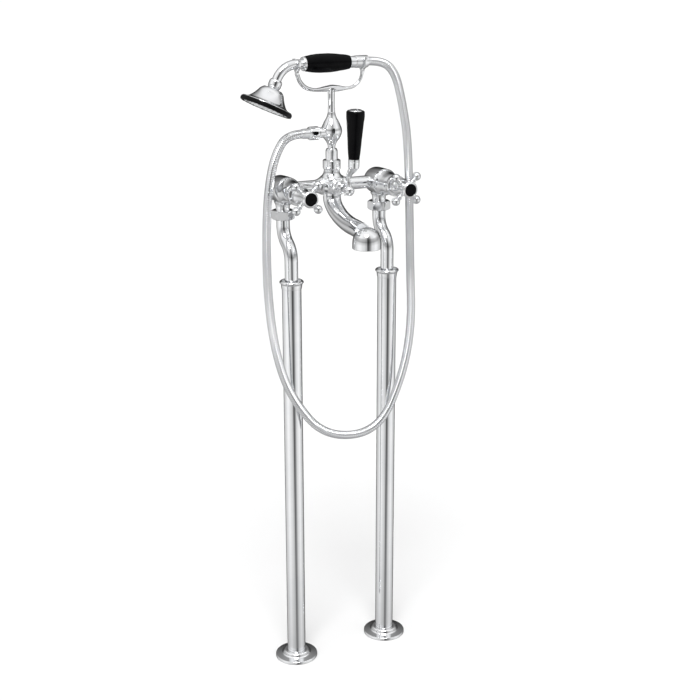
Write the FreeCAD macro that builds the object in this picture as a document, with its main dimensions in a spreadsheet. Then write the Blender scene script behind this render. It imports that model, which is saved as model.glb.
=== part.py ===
import FreeCAD, Part
import math
import os
import Sketcher
from FreeCAD import Placement, Rotation, Vector

# Floor standing bath filler with a lever diverter and a handset on a forked cradle.
# Millimetres. The origin is on the floor midway between the two legs.
# +X is the cold side, -Y is the side that faces the bath, +Z is up.

os.makedirs("parts", exist_ok=True)
doc = FreeCAD.newDocument("bath_filler")
sheet = doc.addObject("Spreadsheet::Sheet", "dims")

sizes = [
    # general fits
    ("seat_gap", 0.1),
    ("running_gap", 0.08),
    ("loose_gap", 0.3),
    ("water_bore", 4.5),
    ("port_bore", 8),
    # legs
    ("leg_half", 90),
    ("pipe_radius", 11),
    ("pipe_bore", 10),
    ("inlet_radius", 11),
    ("inlet_depth", 20),
    ("socket_radius", 14),
    ("socket_top", 36),
    ("plate_radius", 33),
    ("plate_thick", 3.5),
    ("screw_circle", 24),
    ("screw_hole", 2.75),
    ("flange_radius", 37),
    ("flange_rim", 5),
    ("flange_hub", 23.5),
    ("flange_height", 12.6),
    ("shroud_radius", 16.1),
    ("shroud_bore", 14.6),
    ("shroud_drop", 156.5),
    ("collar_radius", 19.8),
    ("collar_skirt", 3.5),
    ("collar_rise", 10.5),
    ("bush_length", 12),
    # supply pipe above the shroud
    ("mixer_back", 29.5),
    ("bend_fall", 20.2),
    ("bend_drop", 76.4),
    ("bend_radius", 33),
    ("union_drop", 49),
    ("union_length", 15.5),
    ("union_flat", 17),
    ("union_corner", 19.63),
    ("union_lip", 3),
    ("union_thread", 15),
    ("tail_collar", 2.5),
    ("washer_thick", 1.8),
    # valves
    ("mixer_height", 840.5),
    ("neck_radius", 11.5),
    ("barrel_rear", 20),
    ("barrel_radius", 22.7),
    ("barrel_front", 24),
    ("chamber_radius", 14.2),
    ("chamber_rear", 10),
    ("bonnet_length", 40),
    ("bonnet_foot", 20.3),
    ("bonnet_ring", 17.6),
    ("cartridge_length", 55),
    ("spindle_radius", 5),
    ("spindle_seat", 9),
    ("arm_radius", 10.6),
    ("arm_start", 31),
    ("arm_end", 67),
    # cross handles
    ("handle_out", 91),
    ("handle_back", 25.5),
    ("handle_front", 15),
    ("hub_rear", 15.3),
    ("hub_waist", 10.9),
    ("hub_bead", 12.7),
    ("ball_reach", 27.2),
    ("ball_radius", 7),
    ("index_radius", 10.3),
    ("index_thick", 1.6),
    # centre body, diverter and lever
    ("pillar_radius", 13),
    ("pillar_foot", 15),
    ("pillar_drop", 17),
    ("pillar_rise", 27.3),
    ("spool_radius", 14.6),
    ("crotch_radius", 20),
    ("crotch_rise", 14),
    ("front_boss", 13),
    ("front_reach", 20),
    ("diverter_length", 29),
    ("diverter_radius", 6),
    ("lever_out", 62.5),
    ("lever_hub", 8.4),
    ("lever_foot_out", 77.2),
    ("lever_foot_rise", 37.6),
    ("lever_tilt", 4.2),
    ("ferrule_radius", 9.1),
    ("ferrule_length", 16),
    ("lever_grip_length", 77.4),
    ("lever_grip_end", 14.7),
    ("lever_cap_radius", 10.8),
    # spout
    ("spout_reach", 122.7),
    ("spout_drop", 83.5),
    ("spout_tube", 14),
    ("spout_wall", 3),
    ("bell_radius", 23.4),
    ("bell_height", 34.5),
    ("mouth_radius", 20.9),
    ("mouth_depth", 15),
    ("aerator_thick", 8),
    # riser
    ("socket_ring", 14.7),
    ("socket_length", 14.8),
    ("grub_radius", 2.4),
    ("riser_radius", 10),
    ("riser_sunk", 5.8),
    ("riser_length", 60.2),
    ("riser_neck", 6.1),
    ("vase_gap", 4.1),
    ("vase_spigot", 5.2),
    ("vase_radius", 17.2),
    ("vase_length", 55.5),
    ("outlet_rise", 23.2),
    ("outlet_start", 12.8),
    ("outlet_radius", 8.5),
    ("thread_radius", 8.2),
    ("outlet_nut_start", 25),
    ("outlet_nut_length", 29.2),
    ("outlet_nut_radius", 10.9),
    # cradle
    ("stem_radius", 5.9),
    ("bar_drop", 41.5),
    ("bar_radius", 2.8),
    ("fork_thick", 4.6),
    ("fork_foot", 3),
    ("prong", 3.8),
    ("prong_rise", 8),
    ("fork_left", 61.8),
    ("fork_right", 57),
    # handset
    ("handset_rise", 78.9),
    ("ferrule_start", 52.4),
    ("front_ferrule_length", 4.8),
    ("front_ferrule_radius", 11.4),
    ("grip_length", 80),
    ("grip_belly", 15.2),
    ("grip_end", 10.4),
    ("tube_radius", 6),
    ("rear_ferrule_radius", 9.4),
    ("rear_ferrule_length", 10.6),
    ("hose_nut_radius", 10),
    ("hose_nut_length", 23),
    ("neck_pipe", 7.5),
    ("neck_bore", 5.5),
    ("neck_corner", 86.5),
    ("neck_bend", 38),
    ("rose_tilt", 25),
    ("rose_drop", 70.4),
    ("knuckle_drop", 32.6),
    ("knuckle_radius", 10.5),
    ("knuckle_half", 7),
    ("ring_radius", 43.5),
    ("ring_bore", 37),
    ("ring_low", 3.9),
    ("ring_high", 3.1),
    ("nozzle_circle", 31.5),
    ("nozzle_radius", 1.4),
    # hose
    ("hose_radius", 7),
    ("hose_root", 6.3),
    ("rib_count", 100),
]

size = {}
for row, (word, number) in enumerate(sizes, start=1):
    sheet.set("A%d" % row, word)
    sheet.set("B%d" % row, str(number))
    sheet.setAlias("B%d" % row, word)
    size[word] = float(number)
doc.recompute()

# Heights that follow from the ones below them.
shroud_top = "mixer_height - shroud_drop"
union_base = "mixer_height - union_drop"
spout_outlet = "mixer_height - spout_drop"
shelf = "mixer_height + pillar_rise"
vase_base = "mixer_height + riser_length + vase_gap"
outlet_height = vase_base + " + outlet_rise"
stem_base = vase_base + " + vase_length"
handset_height = stem_base + " + handset_rise"

UP = Rotation()
FRONT = Rotation(Vector(1, 0, 0), 90)
LEFT = Rotation(Vector(0, 1, 0), -90)
RIGHT = Rotation(Vector(0, 1, 0), 90)
nodes = []


def value(text):
    # Works out a sum of sheet names and numbers, such as 'pipe_radius + 2*seat_gap'.
    total = 0.0
    sign = 1.0
    for word in str(text).split():
        if word in ("+", "-"):
            sign = 1.0 if word == "+" else -1.0
            continue
        product = sign
        for factor in word.split("*"):
            product *= size[factor] if factor in size else float(factor)
        total += product
    return total


def bound(text):
    # The same sum as an expression that reads the sheet.
    words = []
    for word in str(text).split():
        factors = ["dims." + factor if factor in size else factor for factor in word.split("*")]
        words.append(" * ".join(factors))
    return " ".join(words)


def place(item, at=("0", "0", "0"), turn=UP):
    item.Placement = Placement(Vector(*[value(text) for text in at]), turn)
    for axis, text in zip("xyz", at):
        if any(word.strip("-") in size for part in text.split() for word in part.split("*")):
            item.setExpression("Placement.Base." + axis, bound(text))


def node(item, name):
    item.Label = name
    nodes.append(item)
    return item


def origin_part(body, role):
    return [item for item in body.Origin.OriginFeatures if item.Role == role][0]


def draw(body, name, plane, corners):
    # A closed outline, anticlockwise. A corner is (x, y) or (x, y, radius, side), where the
    # radius is that of the arc that arrives at it and the side is bulge or hollow.
    sketch = body.newObject("Sketcher::SketchObject", name)
    sketch.AttachmentSupport = [(origin_part(body, plane), "")]
    sketch.MapMode = "FlatFace"
    points = [Vector(value(corner[0]), value(corner[1]), 0) for corner in corners]
    ends = []
    radii = []
    for i, start in enumerate(points):
        j = (i + 1) % len(points)
        end = points[j]
        if len(corners[j]) == 2:
            edge = sketch.addGeometry(Part.LineSegment(start, end), False)
            ends.append(((edge, 1), (edge, 2)))
            continue
        radius = value(corners[j][2])
        side = 1 if corners[j][3] == "bulge" else -1
        chord = end - start
        height = math.sqrt(radius ** 2 - chord.Length ** 2 / 4)
        normal = Vector(-chord.y, chord.x, 0).normalize()
        centre = (start + end) / 2 + normal * (side * height)
        first, last = (start, end) if side > 0 else (end, start)
        angles = [math.atan2(p.y - centre.y, p.x - centre.x) for p in (first, last)]
        if angles[1] < angles[0]:
            angles[1] += 2 * math.pi
        circle = Part.Circle(centre, Vector(0, 0, 1), radius)
        edge = sketch.addGeometry(Part.ArcOfCircle(circle, angles[0], angles[1]), False)
        ends.append(((edge, 1), (edge, 2)) if side > 0 else ((edge, 2), (edge, 1)))
        radii.append((edge, corners[j][2]))
    for i in range(len(points)):
        after = ends[(i + 1) % len(points)][0]
        sketch.addConstraint(Sketcher.Constraint("Coincident", *ends[i][1], *after))
    for i, corner in enumerate(corners):
        tie(sketch, "DistanceX", ends[i][0], corner[0], -2)
        tie(sketch, "DistanceY", ends[i][0], corner[1], -1)
    for edge, text in radii:
        made = sketch.addConstraint(Sketcher.Constraint("Radius", edge, value(text)))
        sketch.setExpression("Constraints[%d]" % made, bound(text))
    return sketch


def tie(sketch, kind, point, text, axis):
    # Holds one coordinate of a corner to its sum in the sheet.
    number = value(text)
    if abs(number) < 1e-9:
        sketch.addConstraint(Sketcher.Constraint("PointOnObject", *point, axis))
    elif number > 0:
        made = sketch.addConstraint(Sketcher.Constraint(kind, -1, 1, *point, number))
        sketch.setExpression("Constraints[%d]" % made, bound(text))
    else:
        made = sketch.addConstraint(Sketcher.Constraint(kind, *point, -1, 1, -number))
        sketch.setExpression("Constraints[%d]" % made, "-1 * (" + bound(text) + ")")


def turned(name, corners, at=("0", "0", "0"), turn=UP):
    # A body turned about its own Z axis from corners given as (radius, height).
    body = doc.addObject("PartDesign::Body", name)
    sketch = draw(body, name + "_profile", "XZ_Plane", corners)
    spin = body.newObject("PartDesign::Revolution", name + "_turned")
    spin.Profile = sketch
    spin.ReferenceAxis = (sketch, ["V_Axis"])
    spin.Angle = 360
    sketch.Visibility = False
    body.Tip = spin
    place(body, at, turn)
    return body


def padded(name, plane, corners, length, at=("0", "0", "0"), turn=UP):
    # A body padded evenly both ways from one of its own planes.
    body = doc.addObject("PartDesign::Body", name)
    sketch = draw(body, name + "_outline", plane, corners)
    pad = body.newObject("PartDesign::Pad", name + "_pad")
    pad.Profile = sketch
    pad.SideType = "Symmetric"
    pad.Length = value(length)
    pad.setExpression("Length", bound(length))
    sketch.Visibility = False
    body.Tip = pad
    place(body, at, turn)
    return body


def rod(name, radius, length, at=("0", "0", "0"), turn=UP):
    item = doc.addObject("Part::Cylinder", name)
    item.setExpression("Radius", bound(radius))
    item.setExpression("Height", bound(length))
    place(item, at, turn)
    return item


def fuse(name, items):
    item = doc.addObject("Part::MultiFuse", name)
    item.Shapes = items
    return item


def cut(name, base, tools):
    item = doc.addObject("Part::Cut", name)
    item.Base = base
    item.Tool = tools[0] if len(tools) == 1 else fuse(name + "_cutters", tools)
    return item


def solid(name, shape, at=("0", "0", "0"), turn=UP):
    item = doc.addObject("Part::Feature", name)
    item.Shape = shape
    place(item, at, turn)
    return item


def path(points, radii):
    # Straight runs joined by tangent arcs, one radius for each inner point.
    edges = []
    start = points[0]
    for i in range(1, len(points) - 1):
        back = (points[i - 1] - points[i]).normalize()
        ahead = (points[i + 1] - points[i]).normalize()
        half = back.getAngle(ahead) / 2
        reach = radii[i - 1] / math.tan(half)
        enter = points[i] + back * reach
        leave = points[i] + ahead * reach
        inward = (back + ahead).normalize()
        middle = points[i] + inward * (radii[i - 1] / math.sin(half) - radii[i - 1])
        if (enter - start).Length > 1e-6:
            edges.append(Part.LineSegment(start, enter).toShape())
        edges.append(Part.Arc(enter, middle, leave).toShape())
        start = leave
    edges.append(Part.LineSegment(start, points[-1]).toShape())
    return Part.Wire(edges)


def swept(wire, radius):
    first = wire.Edges[0]
    start = first.valueAt(first.FirstParameter)
    along = first.tangentAt(first.FirstParameter)
    ring = Part.Wire([Part.makeCircle(radius, start, along)])
    return wire.makePipeShell([ring], True, False)


def hoop(centre, along, across, radius):
    # A circle square to its line, with its seam held on a steady side.
    ring = Part.makeCircle(radius)
    ring.Placement = Placement(centre, Rotation(across, along.cross(across), along, "ZXY"))
    return Part.Wire([ring])


# Legs and valves.

for side, sign in (("hot_", -1), ("cold_", 1)):
    leg = "%d*leg_half" % sign
    inward = RIGHT if sign < 0 else LEFT
    outward = LEFT if sign < 0 else RIGHT
    axis = (leg, "mixer_back", "mixer_height")

    plate = turned(side + "base_turned", [
        ("inlet_radius", "0"),
        ("plate_radius", "0"),
        ("plate_radius", "plate_thick"),
        ("socket_radius", "plate_thick"),
        ("socket_radius", "socket_top"),
        ("pipe_radius + seat_gap", "socket_top"),
        ("pipe_radius + seat_gap", "inlet_depth + 2"),
        ("pipe_bore", "inlet_depth + 2"),
        ("pipe_bore", "inlet_depth"),
        ("inlet_radius", "inlet_depth"),
    ], (leg, "0", "0"))
    holes = []
    for number, (dx, dy) in enumerate(((0, -1), (0.866, 0.5), (-0.866, 0.5))):
        spot = (leg + " + %g*screw_circle" % dx, "%g*screw_circle" % dy, "0")
        holes.append(rod(side + "screw_hole_%d" % number, "screw_hole", "plate_thick", spot))
    node(cut(side + "base_plate", plate, holes), side + "base_plate")

    node(turned(side + "floor_flange", [
        ("flange_radius - 2", "0"),
        ("flange_radius", "0"),
        ("flange_radius", "flange_rim - 1.2"),
        ("flange_radius - 1.2", "flange_rim", "1.2", "bulge"),
        ("flange_hub + 3.5", "flange_rim + 1"),
        ("flange_hub", "flange_rim + 3.6", "4", "hollow"),
        ("flange_hub - 3.5", "flange_height", "3.8", "bulge"),
        ("shroud_radius + seat_gap", "flange_height"),
        ("shroud_radius + seat_gap", "flange_height - 1.8"),
        ("flange_hub - 4.2", "flange_height - 1.8"),
        ("flange_hub - 2", "flange_rim + 3"),
        ("flange_hub + 1", "plate_thick + loose_gap"),
        ("flange_radius - 2", "plate_thick + loose_gap"),
    ], (leg, "0", "0")), side + "floor_flange")

    node(turned(side + "shroud", [
        ("shroud_bore", "plate_thick"),
        ("shroud_radius", "plate_thick"),
        ("shroud_radius", shroud_top),
        ("shroud_bore", shroud_top),
    ], (leg, "0", "0")), side + "shroud")

    node(turned(side + "shroud_collar", [
        ("shroud_radius + seat_gap", "0"),
        ("shroud_radius + 0.8", "0.4"),
        ("shroud_radius + 1.5", "collar_skirt + 3.5"),
        ("collar_radius - 1.2", "collar_skirt + 5.6", "3.5", "hollow"),
        ("collar_radius - 0.9", "collar_skirt + collar_rise - 0.9", "2.2", "bulge"),
        ("collar_radius - 2.4", "collar_skirt + collar_rise", "2", "bulge"),
        ("shroud_radius + 0.2", "collar_skirt + collar_rise - 0.3"),
        ("shroud_radius - 0.2", "collar_skirt + collar_rise - 3"),
        ("shroud_bore", "collar_skirt + 5"),
        ("shroud_bore", "collar_skirt"),
        ("shroud_radius + seat_gap", "collar_skirt"),
    ], (leg, "0", shroud_top + " - collar_skirt")), side + "shroud_collar")

    node(turned(side + "centring_bush", [
        ("pipe_radius + seat_gap", "0"),
        ("shroud_bore - seat_gap", "0"),
        ("shroud_bore - seat_gap", "bush_length"),
        ("pipe_radius + seat_gap", "bush_length"),
    ], (leg, "0", shroud_top + " - bush_length - 2")), side + "centring_bush")

    pipe_top = value(union_base + " + union_lip + loose_gap + tail_collar")
    line = path([
        Vector(0, 0, value("inlet_depth + 2")),
        Vector(0, 0, value("mixer_height - bend_drop - bend_fall")),
        Vector(0, value("mixer_back"), value("mixer_height - bend_drop")),
        Vector(0, value("mixer_back"), pipe_top),
    ], [value("bend_radius")] * 2)
    bent = swept(line, value("pipe_radius")).cut(swept(line, value("pipe_bore")))
    pipe = solid(side + "bent_pipe", bent, (leg, "0", "0"))
    collar = turned(side + "pipe_collar", [
        ("pipe_bore", "0"),
        ("union_thread", "0"),
        ("union_thread", "tail_collar"),
        ("pipe_bore", "tail_collar"),
    ], (leg, "mixer_back", union_base + " + union_lip + loose_gap"))
    node(fuse(side + "supply_pipe", [pipe, collar]), side + "supply_pipe")

    hexagon = doc.addObject("Part::Prism", side + "nut_hexagon")
    hexagon.Polygon = 6
    hexagon.setExpression("Circumradius", bound("union_corner"))
    hexagon.setExpression("Height", bound("union_length"))
    place(hexagon, (leg, "mixer_back", union_base), Rotation(Vector(0, 0, 1), 90))
    bevel = turned(side + "nut_bevel", [
        ("0", "0"),
        ("union_flat + 0.2", "0"),
        ("union_corner + 0.2", "1.4"),
        ("union_corner + 0.2", "union_length - 1.4"),
        ("union_flat + 0.2", "union_length"),
        ("0", "union_length"),
    ], (leg, "mixer_back", union_base))
    shaped = doc.addObject("Part::Common", side + "nut_shaped")
    shaped.Base = hexagon
    shaped.Tool = bevel
    hollow = turned(side + "nut_hollow", [
        ("0", "0"),
        ("pipe_radius + loose_gap", "0"),
        ("pipe_radius + loose_gap", "union_lip"),
        ("union_thread + loose_gap", "union_lip"),
        ("union_thread + loose_gap", "union_length"),
        ("0", "union_length"),
    ], (leg, "mixer_back", union_base))
    node(cut(side + "union_nut", shaped, [hollow]), side + "union_nut")

    seat = union_base + " + union_lip + loose_gap + tail_collar"
    node(turned(side + "union_washer", [
        ("pipe_bore", "0"),
        ("union_thread - seat_gap", "0"),
        ("union_thread - seat_gap", "washer_thick"),
        ("pipe_bore", "washer_thick"),
    ], (leg, "mixer_back", seat)), side + "union_washer")

    barrel = turned(side + "barrel", [
        ("0", "-1*barrel_rear"),
        ("barrel_radius - 5", "-1*barrel_rear + 1.4", "110", "bulge"),
        ("barrel_radius - 1.8", "-1*barrel_rear + 4", "4.2", "bulge"),
        ("barrel_radius - 0.6", "-1*barrel_rear + 10", "24", "bulge"),
        ("barrel_radius", "barrel_front - 18"),
        ("barrel_radius", "barrel_front - 4"),
        ("bonnet_foot", "barrel_front"),
        ("0", "barrel_front"),
    ], axis, FRONT)
    tail = seat + " + washer_thick"
    below = " - union_lip - loose_gap - tail_collar - washer_thick"
    drop = "union_drop" + below
    spigot = rod(side + "tail_spigot", "union_thread", "union_length" + below,
                 (leg, "mixer_back", tail))
    neck = rod(side + "tail_neck", "neck_radius", drop, (leg, "mixer_back", tail))
    stub = rod(side + "arm_stub", "arm_radius", "leg_half - arm_end", axis, inward)
    metal = fuse(side + "valve_metal", [barrel, spigot, neck, stub])
    chamber = rod(side + "chamber", "chamber_radius", "chamber_rear + barrel_front",
                  (leg, "mixer_back + chamber_rear", "mixer_height"), FRONT)
    feed = rod(side + "feed", "port_bore", drop, (leg, "mixer_back", tail))
    port = rod(side + "port", "port_bore", "leg_half - arm_end", axis, inward)
    node(cut(side + "valve_body", metal, [chamber, feed, port]), side + "valve_body")

    node(turned(side + "bridge_arm", [
        ("port_bore", "0"),
        ("arm_radius", "0"),
        ("arm_radius", "arm_end - arm_start"),
        ("port_bore", "arm_end - arm_start"),
    ], ("%d*arm_start" % sign, "mixer_back", "mixer_height"), outward), side + "bridge_arm")

    node(turned(side + "bonnet", [
        ("chamber_radius", "0"),
        ("bonnet_foot", "0"),
        ("bonnet_ring + 0.3", "10", "40", "hollow"),
        ("bonnet_ring", "18"),
        ("bonnet_ring - 1.2", "26", "40", "bulge"),
        ("bonnet_ring - 1.2", "29"),
        ("bonnet_ring", "30.4"),
        ("bonnet_ring", "35.6"),
        ("bonnet_ring - 1.4", "37", "1.6", "bulge"),
        ("bonnet_ring - 4.4", "38"),
        ("bonnet_ring - 4.4", "bonnet_length"),
        ("spindle_radius + running_gap", "bonnet_length"),
        ("spindle_radius + running_gap", "bonnet_length - 16"),
        ("chamber_radius", "bonnet_length - 16"),
    ], (leg, "mixer_back - barrel_front", "mixer_height"), FRONT), side + "bonnet")

    node(turned(side + "cartridge", [
        ("0", "0"),
        ("chamber_radius - seat_gap", "0"),
        ("chamber_radius - seat_gap", "cartridge_length - 6"),
        ("chamber_radius - 2", "cartridge_length - 4"),
        ("chamber_radius - 2", "cartridge_length"),
        ("spindle_radius + running_gap", "cartridge_length"),
        ("spindle_radius + running_gap", "cartridge_length - spindle_seat - loose_gap"),
        ("0", "cartridge_length - spindle_seat - loose_gap"),
    ], (leg, "mixer_back + chamber_rear", "mixer_height"), FRONT), side + "cartridge")

    spindle_back = "mixer_back + chamber_rear - cartridge_length + spindle_seat"
    spindle_length = "handle_out - 6 + chamber_rear - cartridge_length + spindle_seat"
    node(rod(side + "spindle", "spindle_radius", spindle_length,
             (leg, spindle_back, "mixer_height"), FRONT), side + "spindle")

    handle = doc.addObject("PartDesign::Body", side + "handle")
    hub = draw(handle, side + "hub_profile", "XZ_Plane", [
        ("spindle_radius + seat_gap", "-1*handle_back"),
        ("hub_rear - 1.6", "-1*handle_back"),
        ("hub_rear", "-1*handle_back + 2.4", "2.4", "bulge"),
        ("hub_rear", "-1*handle_back + 8"),
        ("hub_waist + 0.7", "0", "38", "hollow"),
        ("hub_waist", "6"),
        ("hub_bead - 0.7", "handle_front - 5.6", "3", "hollow"),
        ("hub_bead - 0.5", "handle_front - 0.6", "2.8", "bulge"),
        ("hub_bead - 1.2", "handle_front"),
        ("index_radius + seat_gap", "handle_front"),
        ("index_radius + seat_gap", "handle_front - index_thick"),
        ("0", "handle_front - index_thick"),
        ("0", "-6"),
        ("spindle_radius + seat_gap", "-6"),
    ])
    spin = handle.newObject("PartDesign::Revolution", side + "hub_turned")
    spin.Profile = hub
    spin.ReferenceAxis = (hub, ["V_Axis"])
    spin.Angle = 360
    arm = draw(handle, side + "arm_profile", "XZ_Plane", [
        ("8.5", "0"),
        ("ball_reach + ball_radius", "0"),
        ("ball_reach - 6.32", "3", "ball_radius", "bulge"),
        ("ball_reach - 7.4", "3"),
        ("ball_reach - 7.8", "4.2"),
        ("ball_reach - 9.2", "4.2"),
        ("ball_reach - 9.6", "3.2"),
        ("8.5", "4.1"),
    ])
    limb = handle.newObject("PartDesign::Revolution", side + "arm_turned")
    limb.Profile = arm
    limb.ReferenceAxis = (arm, ["H_Axis"])
    limb.Angle = 360
    ring = handle.newObject("PartDesign::PolarPattern", side + "arms")
    ring.Originals = [limb]
    ring.Axis = (origin_part(handle, "Z_Axis"), [""])
    ring.Angle = 360
    ring.Occurrences = 4
    handle.Tip = ring
    place(handle, (leg, "mixer_back - handle_out", "mixer_height"),
          FRONT.multiply(Rotation(Vector(0, 0, 1), 45)))
    node(handle, side + "handle")

    node(turned(side + "index", [
        ("0", "0"),
        ("index_radius", "0"),
        ("index_radius", "index_thick - 0.5"),
        ("index_radius - 0.5", "index_thick - 0.1"),
        ("0", "index_thick - 0.1"),
    ], (leg, "mixer_back - handle_out - handle_front + index_thick", "mixer_height"),
        FRONT), side + "index")

# Centre body and diverter.

middle = ("0", "mixer_back", "mixer_height")
spool = turned("centre_spool", [
    ("0", "-1*arm_start"),
    ("arm_radius", "-1*arm_start"),
    ("spool_radius", "-1*crotch_radius", "24", "hollow"),
    ("spool_radius", "crotch_radius"),
    ("arm_radius", "arm_start", "24", "hollow"),
    ("0", "arm_start"),
], middle, RIGHT)
pillar = turned("centre_pillar", [
    ("0", "-1*pillar_drop"),
    ("pillar_foot", "-1*pillar_drop"),
    ("pillar_foot", "-1*pillar_drop + 5"),
    ("crotch_radius - 1.4", "2", "26", "bulge"),
    ("crotch_radius", "crotch_rise - 3", "12", "bulge"),
    ("crotch_radius - 1", "crotch_rise", "3", "bulge"),
    ("pillar_radius", "pillar_rise - 3.4", "14", "hollow"),
    ("pillar_radius", "pillar_rise - 0.8"),
    ("pillar_radius - 0.8", "pillar_rise"),
    ("0", "pillar_rise"),
], middle)
boss = rod("centre_boss", "front_boss", "front_reach", middle, FRONT)
centre_metal = fuse("centre_metal", [spool, pillar, boss])
across = rod("centre_across", "port_bore", "2*arm_start",
             ("-1*arm_start", "mixer_back", "mixer_height"), RIGHT)
upright = rod("centre_upright", "port_bore", "pillar_drop + pillar_rise",
              ("0", "mixer_back", "mixer_height - pillar_drop"))
pocket = rod("centre_pocket", "riser_radius + seat_gap", "riser_sunk",
             ("0", "mixer_back", "mixer_height + pillar_rise - riser_sunk"))
front = rod("centre_front", "port_bore + 1", "front_reach", middle, FRONT)
gland_face = rod("centre_gland_face", "front_boss + seat_gap", "2",
                 ("0", "mixer_back - front_reach", "mixer_height"), FRONT)
node(cut("centre_body", centre_metal, [across, upright, pocket, front, gland_face]), "centre_body")

nose = turned("diverter_turned", [
    ("0", "0"),
    ("front_boss", "0"),
    ("front_boss", "2.6"),
    ("front_boss - 1.6", "4.4", "1.8", "bulge"),
    ("front_boss - 3.2", "6"),
    ("front_boss - 3.2", "15"),
    ("front_boss - 3.9", "17"),
    ("front_boss - 3.9", "24"),
    ("front_boss - 2.8", "25"),
    ("front_boss - 2.8", "diverter_length - 1.4"),
    ("front_boss - 4.2", "diverter_length", "1.6", "bulge"),
    ("0", "diverter_length"),
], ("0", "mixer_back - front_reach", "mixer_height"), FRONT)
spanner = doc.addObject("Part::Prism", "diverter_hexagon")
spanner.Polygon = 6
spanner.setExpression("Circumradius", bound("front_boss - 1.2"))
spanner.Height = 9
place(spanner, ("0", "mixer_back - front_reach - 6", "mixer_height"), FRONT)
gland = fuse("diverter_gland", [nose, spanner])
bearing = rod("diverter_bearing", "diverter_radius + running_gap", "diverter_length",
              ("0", "mixer_back - front_reach", "mixer_height"), FRONT)
node(cut("diverter_bonnet", gland, [bearing]), "diverter_bonnet")

node(rod("diverter_spindle", "diverter_radius", "lever_out - 16.2",
         ("0", "mixer_back - 13", "mixer_height"), FRONT), "diverter_spindle")

ball = doc.addObject("Part::Sphere", "lever_ball")
ball.setExpression("Radius", bound("lever_hub"))
place(ball, ("0", "mixer_back - lever_out", "mixer_height"))
foot_back = value("lever_foot_out - lever_out")
foot_up = value("lever_foot_rise")
tilt = math.radians(value("lever_tilt"))
bends = [
    (0.0, 0.09, 5.2),
    (-0.18, 0.38, 4.6),
    (-0.12, 0.60, 4.5),
    (0.30, 0.83, 5.2),
    (1.01, 1.07, 7.6),
]
line = Part.BSplineCurve()
line.interpolate([Vector(0, -foot_back * out, foot_up * rise) for out, rise, radius in bends],
                 InitialTangent=Vector(0, 0.25, 1),
                 FinalTangent=Vector(0, -math.sin(tilt + 0.35), math.cos(tilt + 0.35)))
hoops = []
for out, rise, radius in bends:
    spot = Vector(0, -foot_back * out, foot_up * rise)
    along = Vector(*line.tangent(line.parameter(spot))[0])
    hoops.append(hoop(spot, along, Vector(1, 0, 0), radius))
limb = solid("lever_limb", Part.makeLoft(hoops, True, False),
             ("0", "mixer_back - lever_out", "mixer_height"))
bent_lever = fuse("lever_metal", [ball, limb])
sleeve = rod("lever_sleeve", "diverter_radius + seat_gap", "13",
             ("0", "mixer_back - lever_out + 15.8", "mixer_height"), FRONT)
foot = ("0", "mixer_back - lever_foot_out", "mixer_height + lever_foot_rise")
leaning = Rotation(Vector(1, 0, 0), value("lever_tilt"))
above = turned("lever_trim", [
    ("0", "1.2"),
    ("ferrule_radius + 6", "1.2"),
    ("ferrule_radius + 6", "12"),
    ("0", "12"),
], foot, leaning)
node(cut("diverter_lever", bent_lever, [sleeve, above]), "diverter_lever")

node(turned("lever_ferrule", [
    ("0", "1.2"),
    ("ferrule_radius - 1.2", "1.2"),
    ("ferrule_radius", "2.6", "1.6", "bulge"),
    ("ferrule_radius", "ferrule_length - 3"),
    ("ferrule_radius - 0.4", "ferrule_length", "4.6", "bulge"),
    ("0", "ferrule_length"),
], foot, leaning), "lever_ferrule")
top = "ferrule_length + lever_grip_length"
node(turned("lever_grip", [
    ("0", "ferrule_length"),
    ("ferrule_radius - 0.2", "ferrule_length"),
    ("ferrule_radius + 2.3", "ferrule_length + 30", "400", "bulge"),
    ("lever_grip_end - 0.7", top + " - 16"),
    ("lever_grip_end", top + " - 3", "60", "bulge"),
    ("lever_grip_end - 2.2", top, "2.8", "bulge"),
    ("0", top),
], foot, leaning), "lever_grip")
node(turned("lever_cap", [
    ("0", top),
    ("lever_cap_radius", top),
    ("lever_cap_radius - 1.4", top + " + 1.3", "1.6", "bulge"),
    ("1", top + " + 2.2", "60", "bulge"),
    ("0", top + " + 2.2"),
], foot, leaning), "lever_cap")

# Spout.

reach = value("spout_reach")
fall = value("spout_drop - pillar_drop")
stations = [
    (0.0, 0.0, 1.0),
    (-2.6, 10.0, 0.75),
    (-10.5, 19.0, 0.45),
    (-23.0, 26.8, 0.25),
    (-40.0, 33.6, 0.05),
    (-62.0, 38.4, 0.0),
    (-86.0, 40.4, 0.0),
    (-106.0, 41.9, 0.0),
]
spots = [Vector(0, out * reach / 122.7, -down * fall / 66.5) for out, down, more in stations]
line = Part.BSplineCurve()
line.interpolate(spots, InitialTangent=Vector(0, 0, -1), FinalTangent=Vector(0, -1, -0.1))
for wall, label in ((0, "spout_outside"), (value("spout_wall"), "spout_inside")):
    hoops = []
    for spot, (out, down, more) in zip(spots, stations):
        along = Vector(*line.tangent(line.parameter(spot))[0])
        radius = value("spout_tube") - wall + more * value("pillar_foot - spout_tube")
        hoops.append(hoop(spot, along, Vector(1, 0, 0), radius))
    solid(label, Part.makeLoft(hoops, True, False),
          ("0", "mixer_back", "mixer_height - pillar_drop"))
mouth = ("0", "mixer_back - spout_reach", spout_outlet)
bell = turned("spout_bell", [
    ("0", "0"),
    ("bell_radius", "0"),
    ("bell_radius", "9"),
    ("bell_radius - 1.2", "18", "42", "bulge"),
    ("bell_radius - 7.4", "bell_height - 6", "18", "bulge"),
    ("2", "bell_height", "23", "bulge"),
    ("0", "bell_height"),
], mouth)
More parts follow.
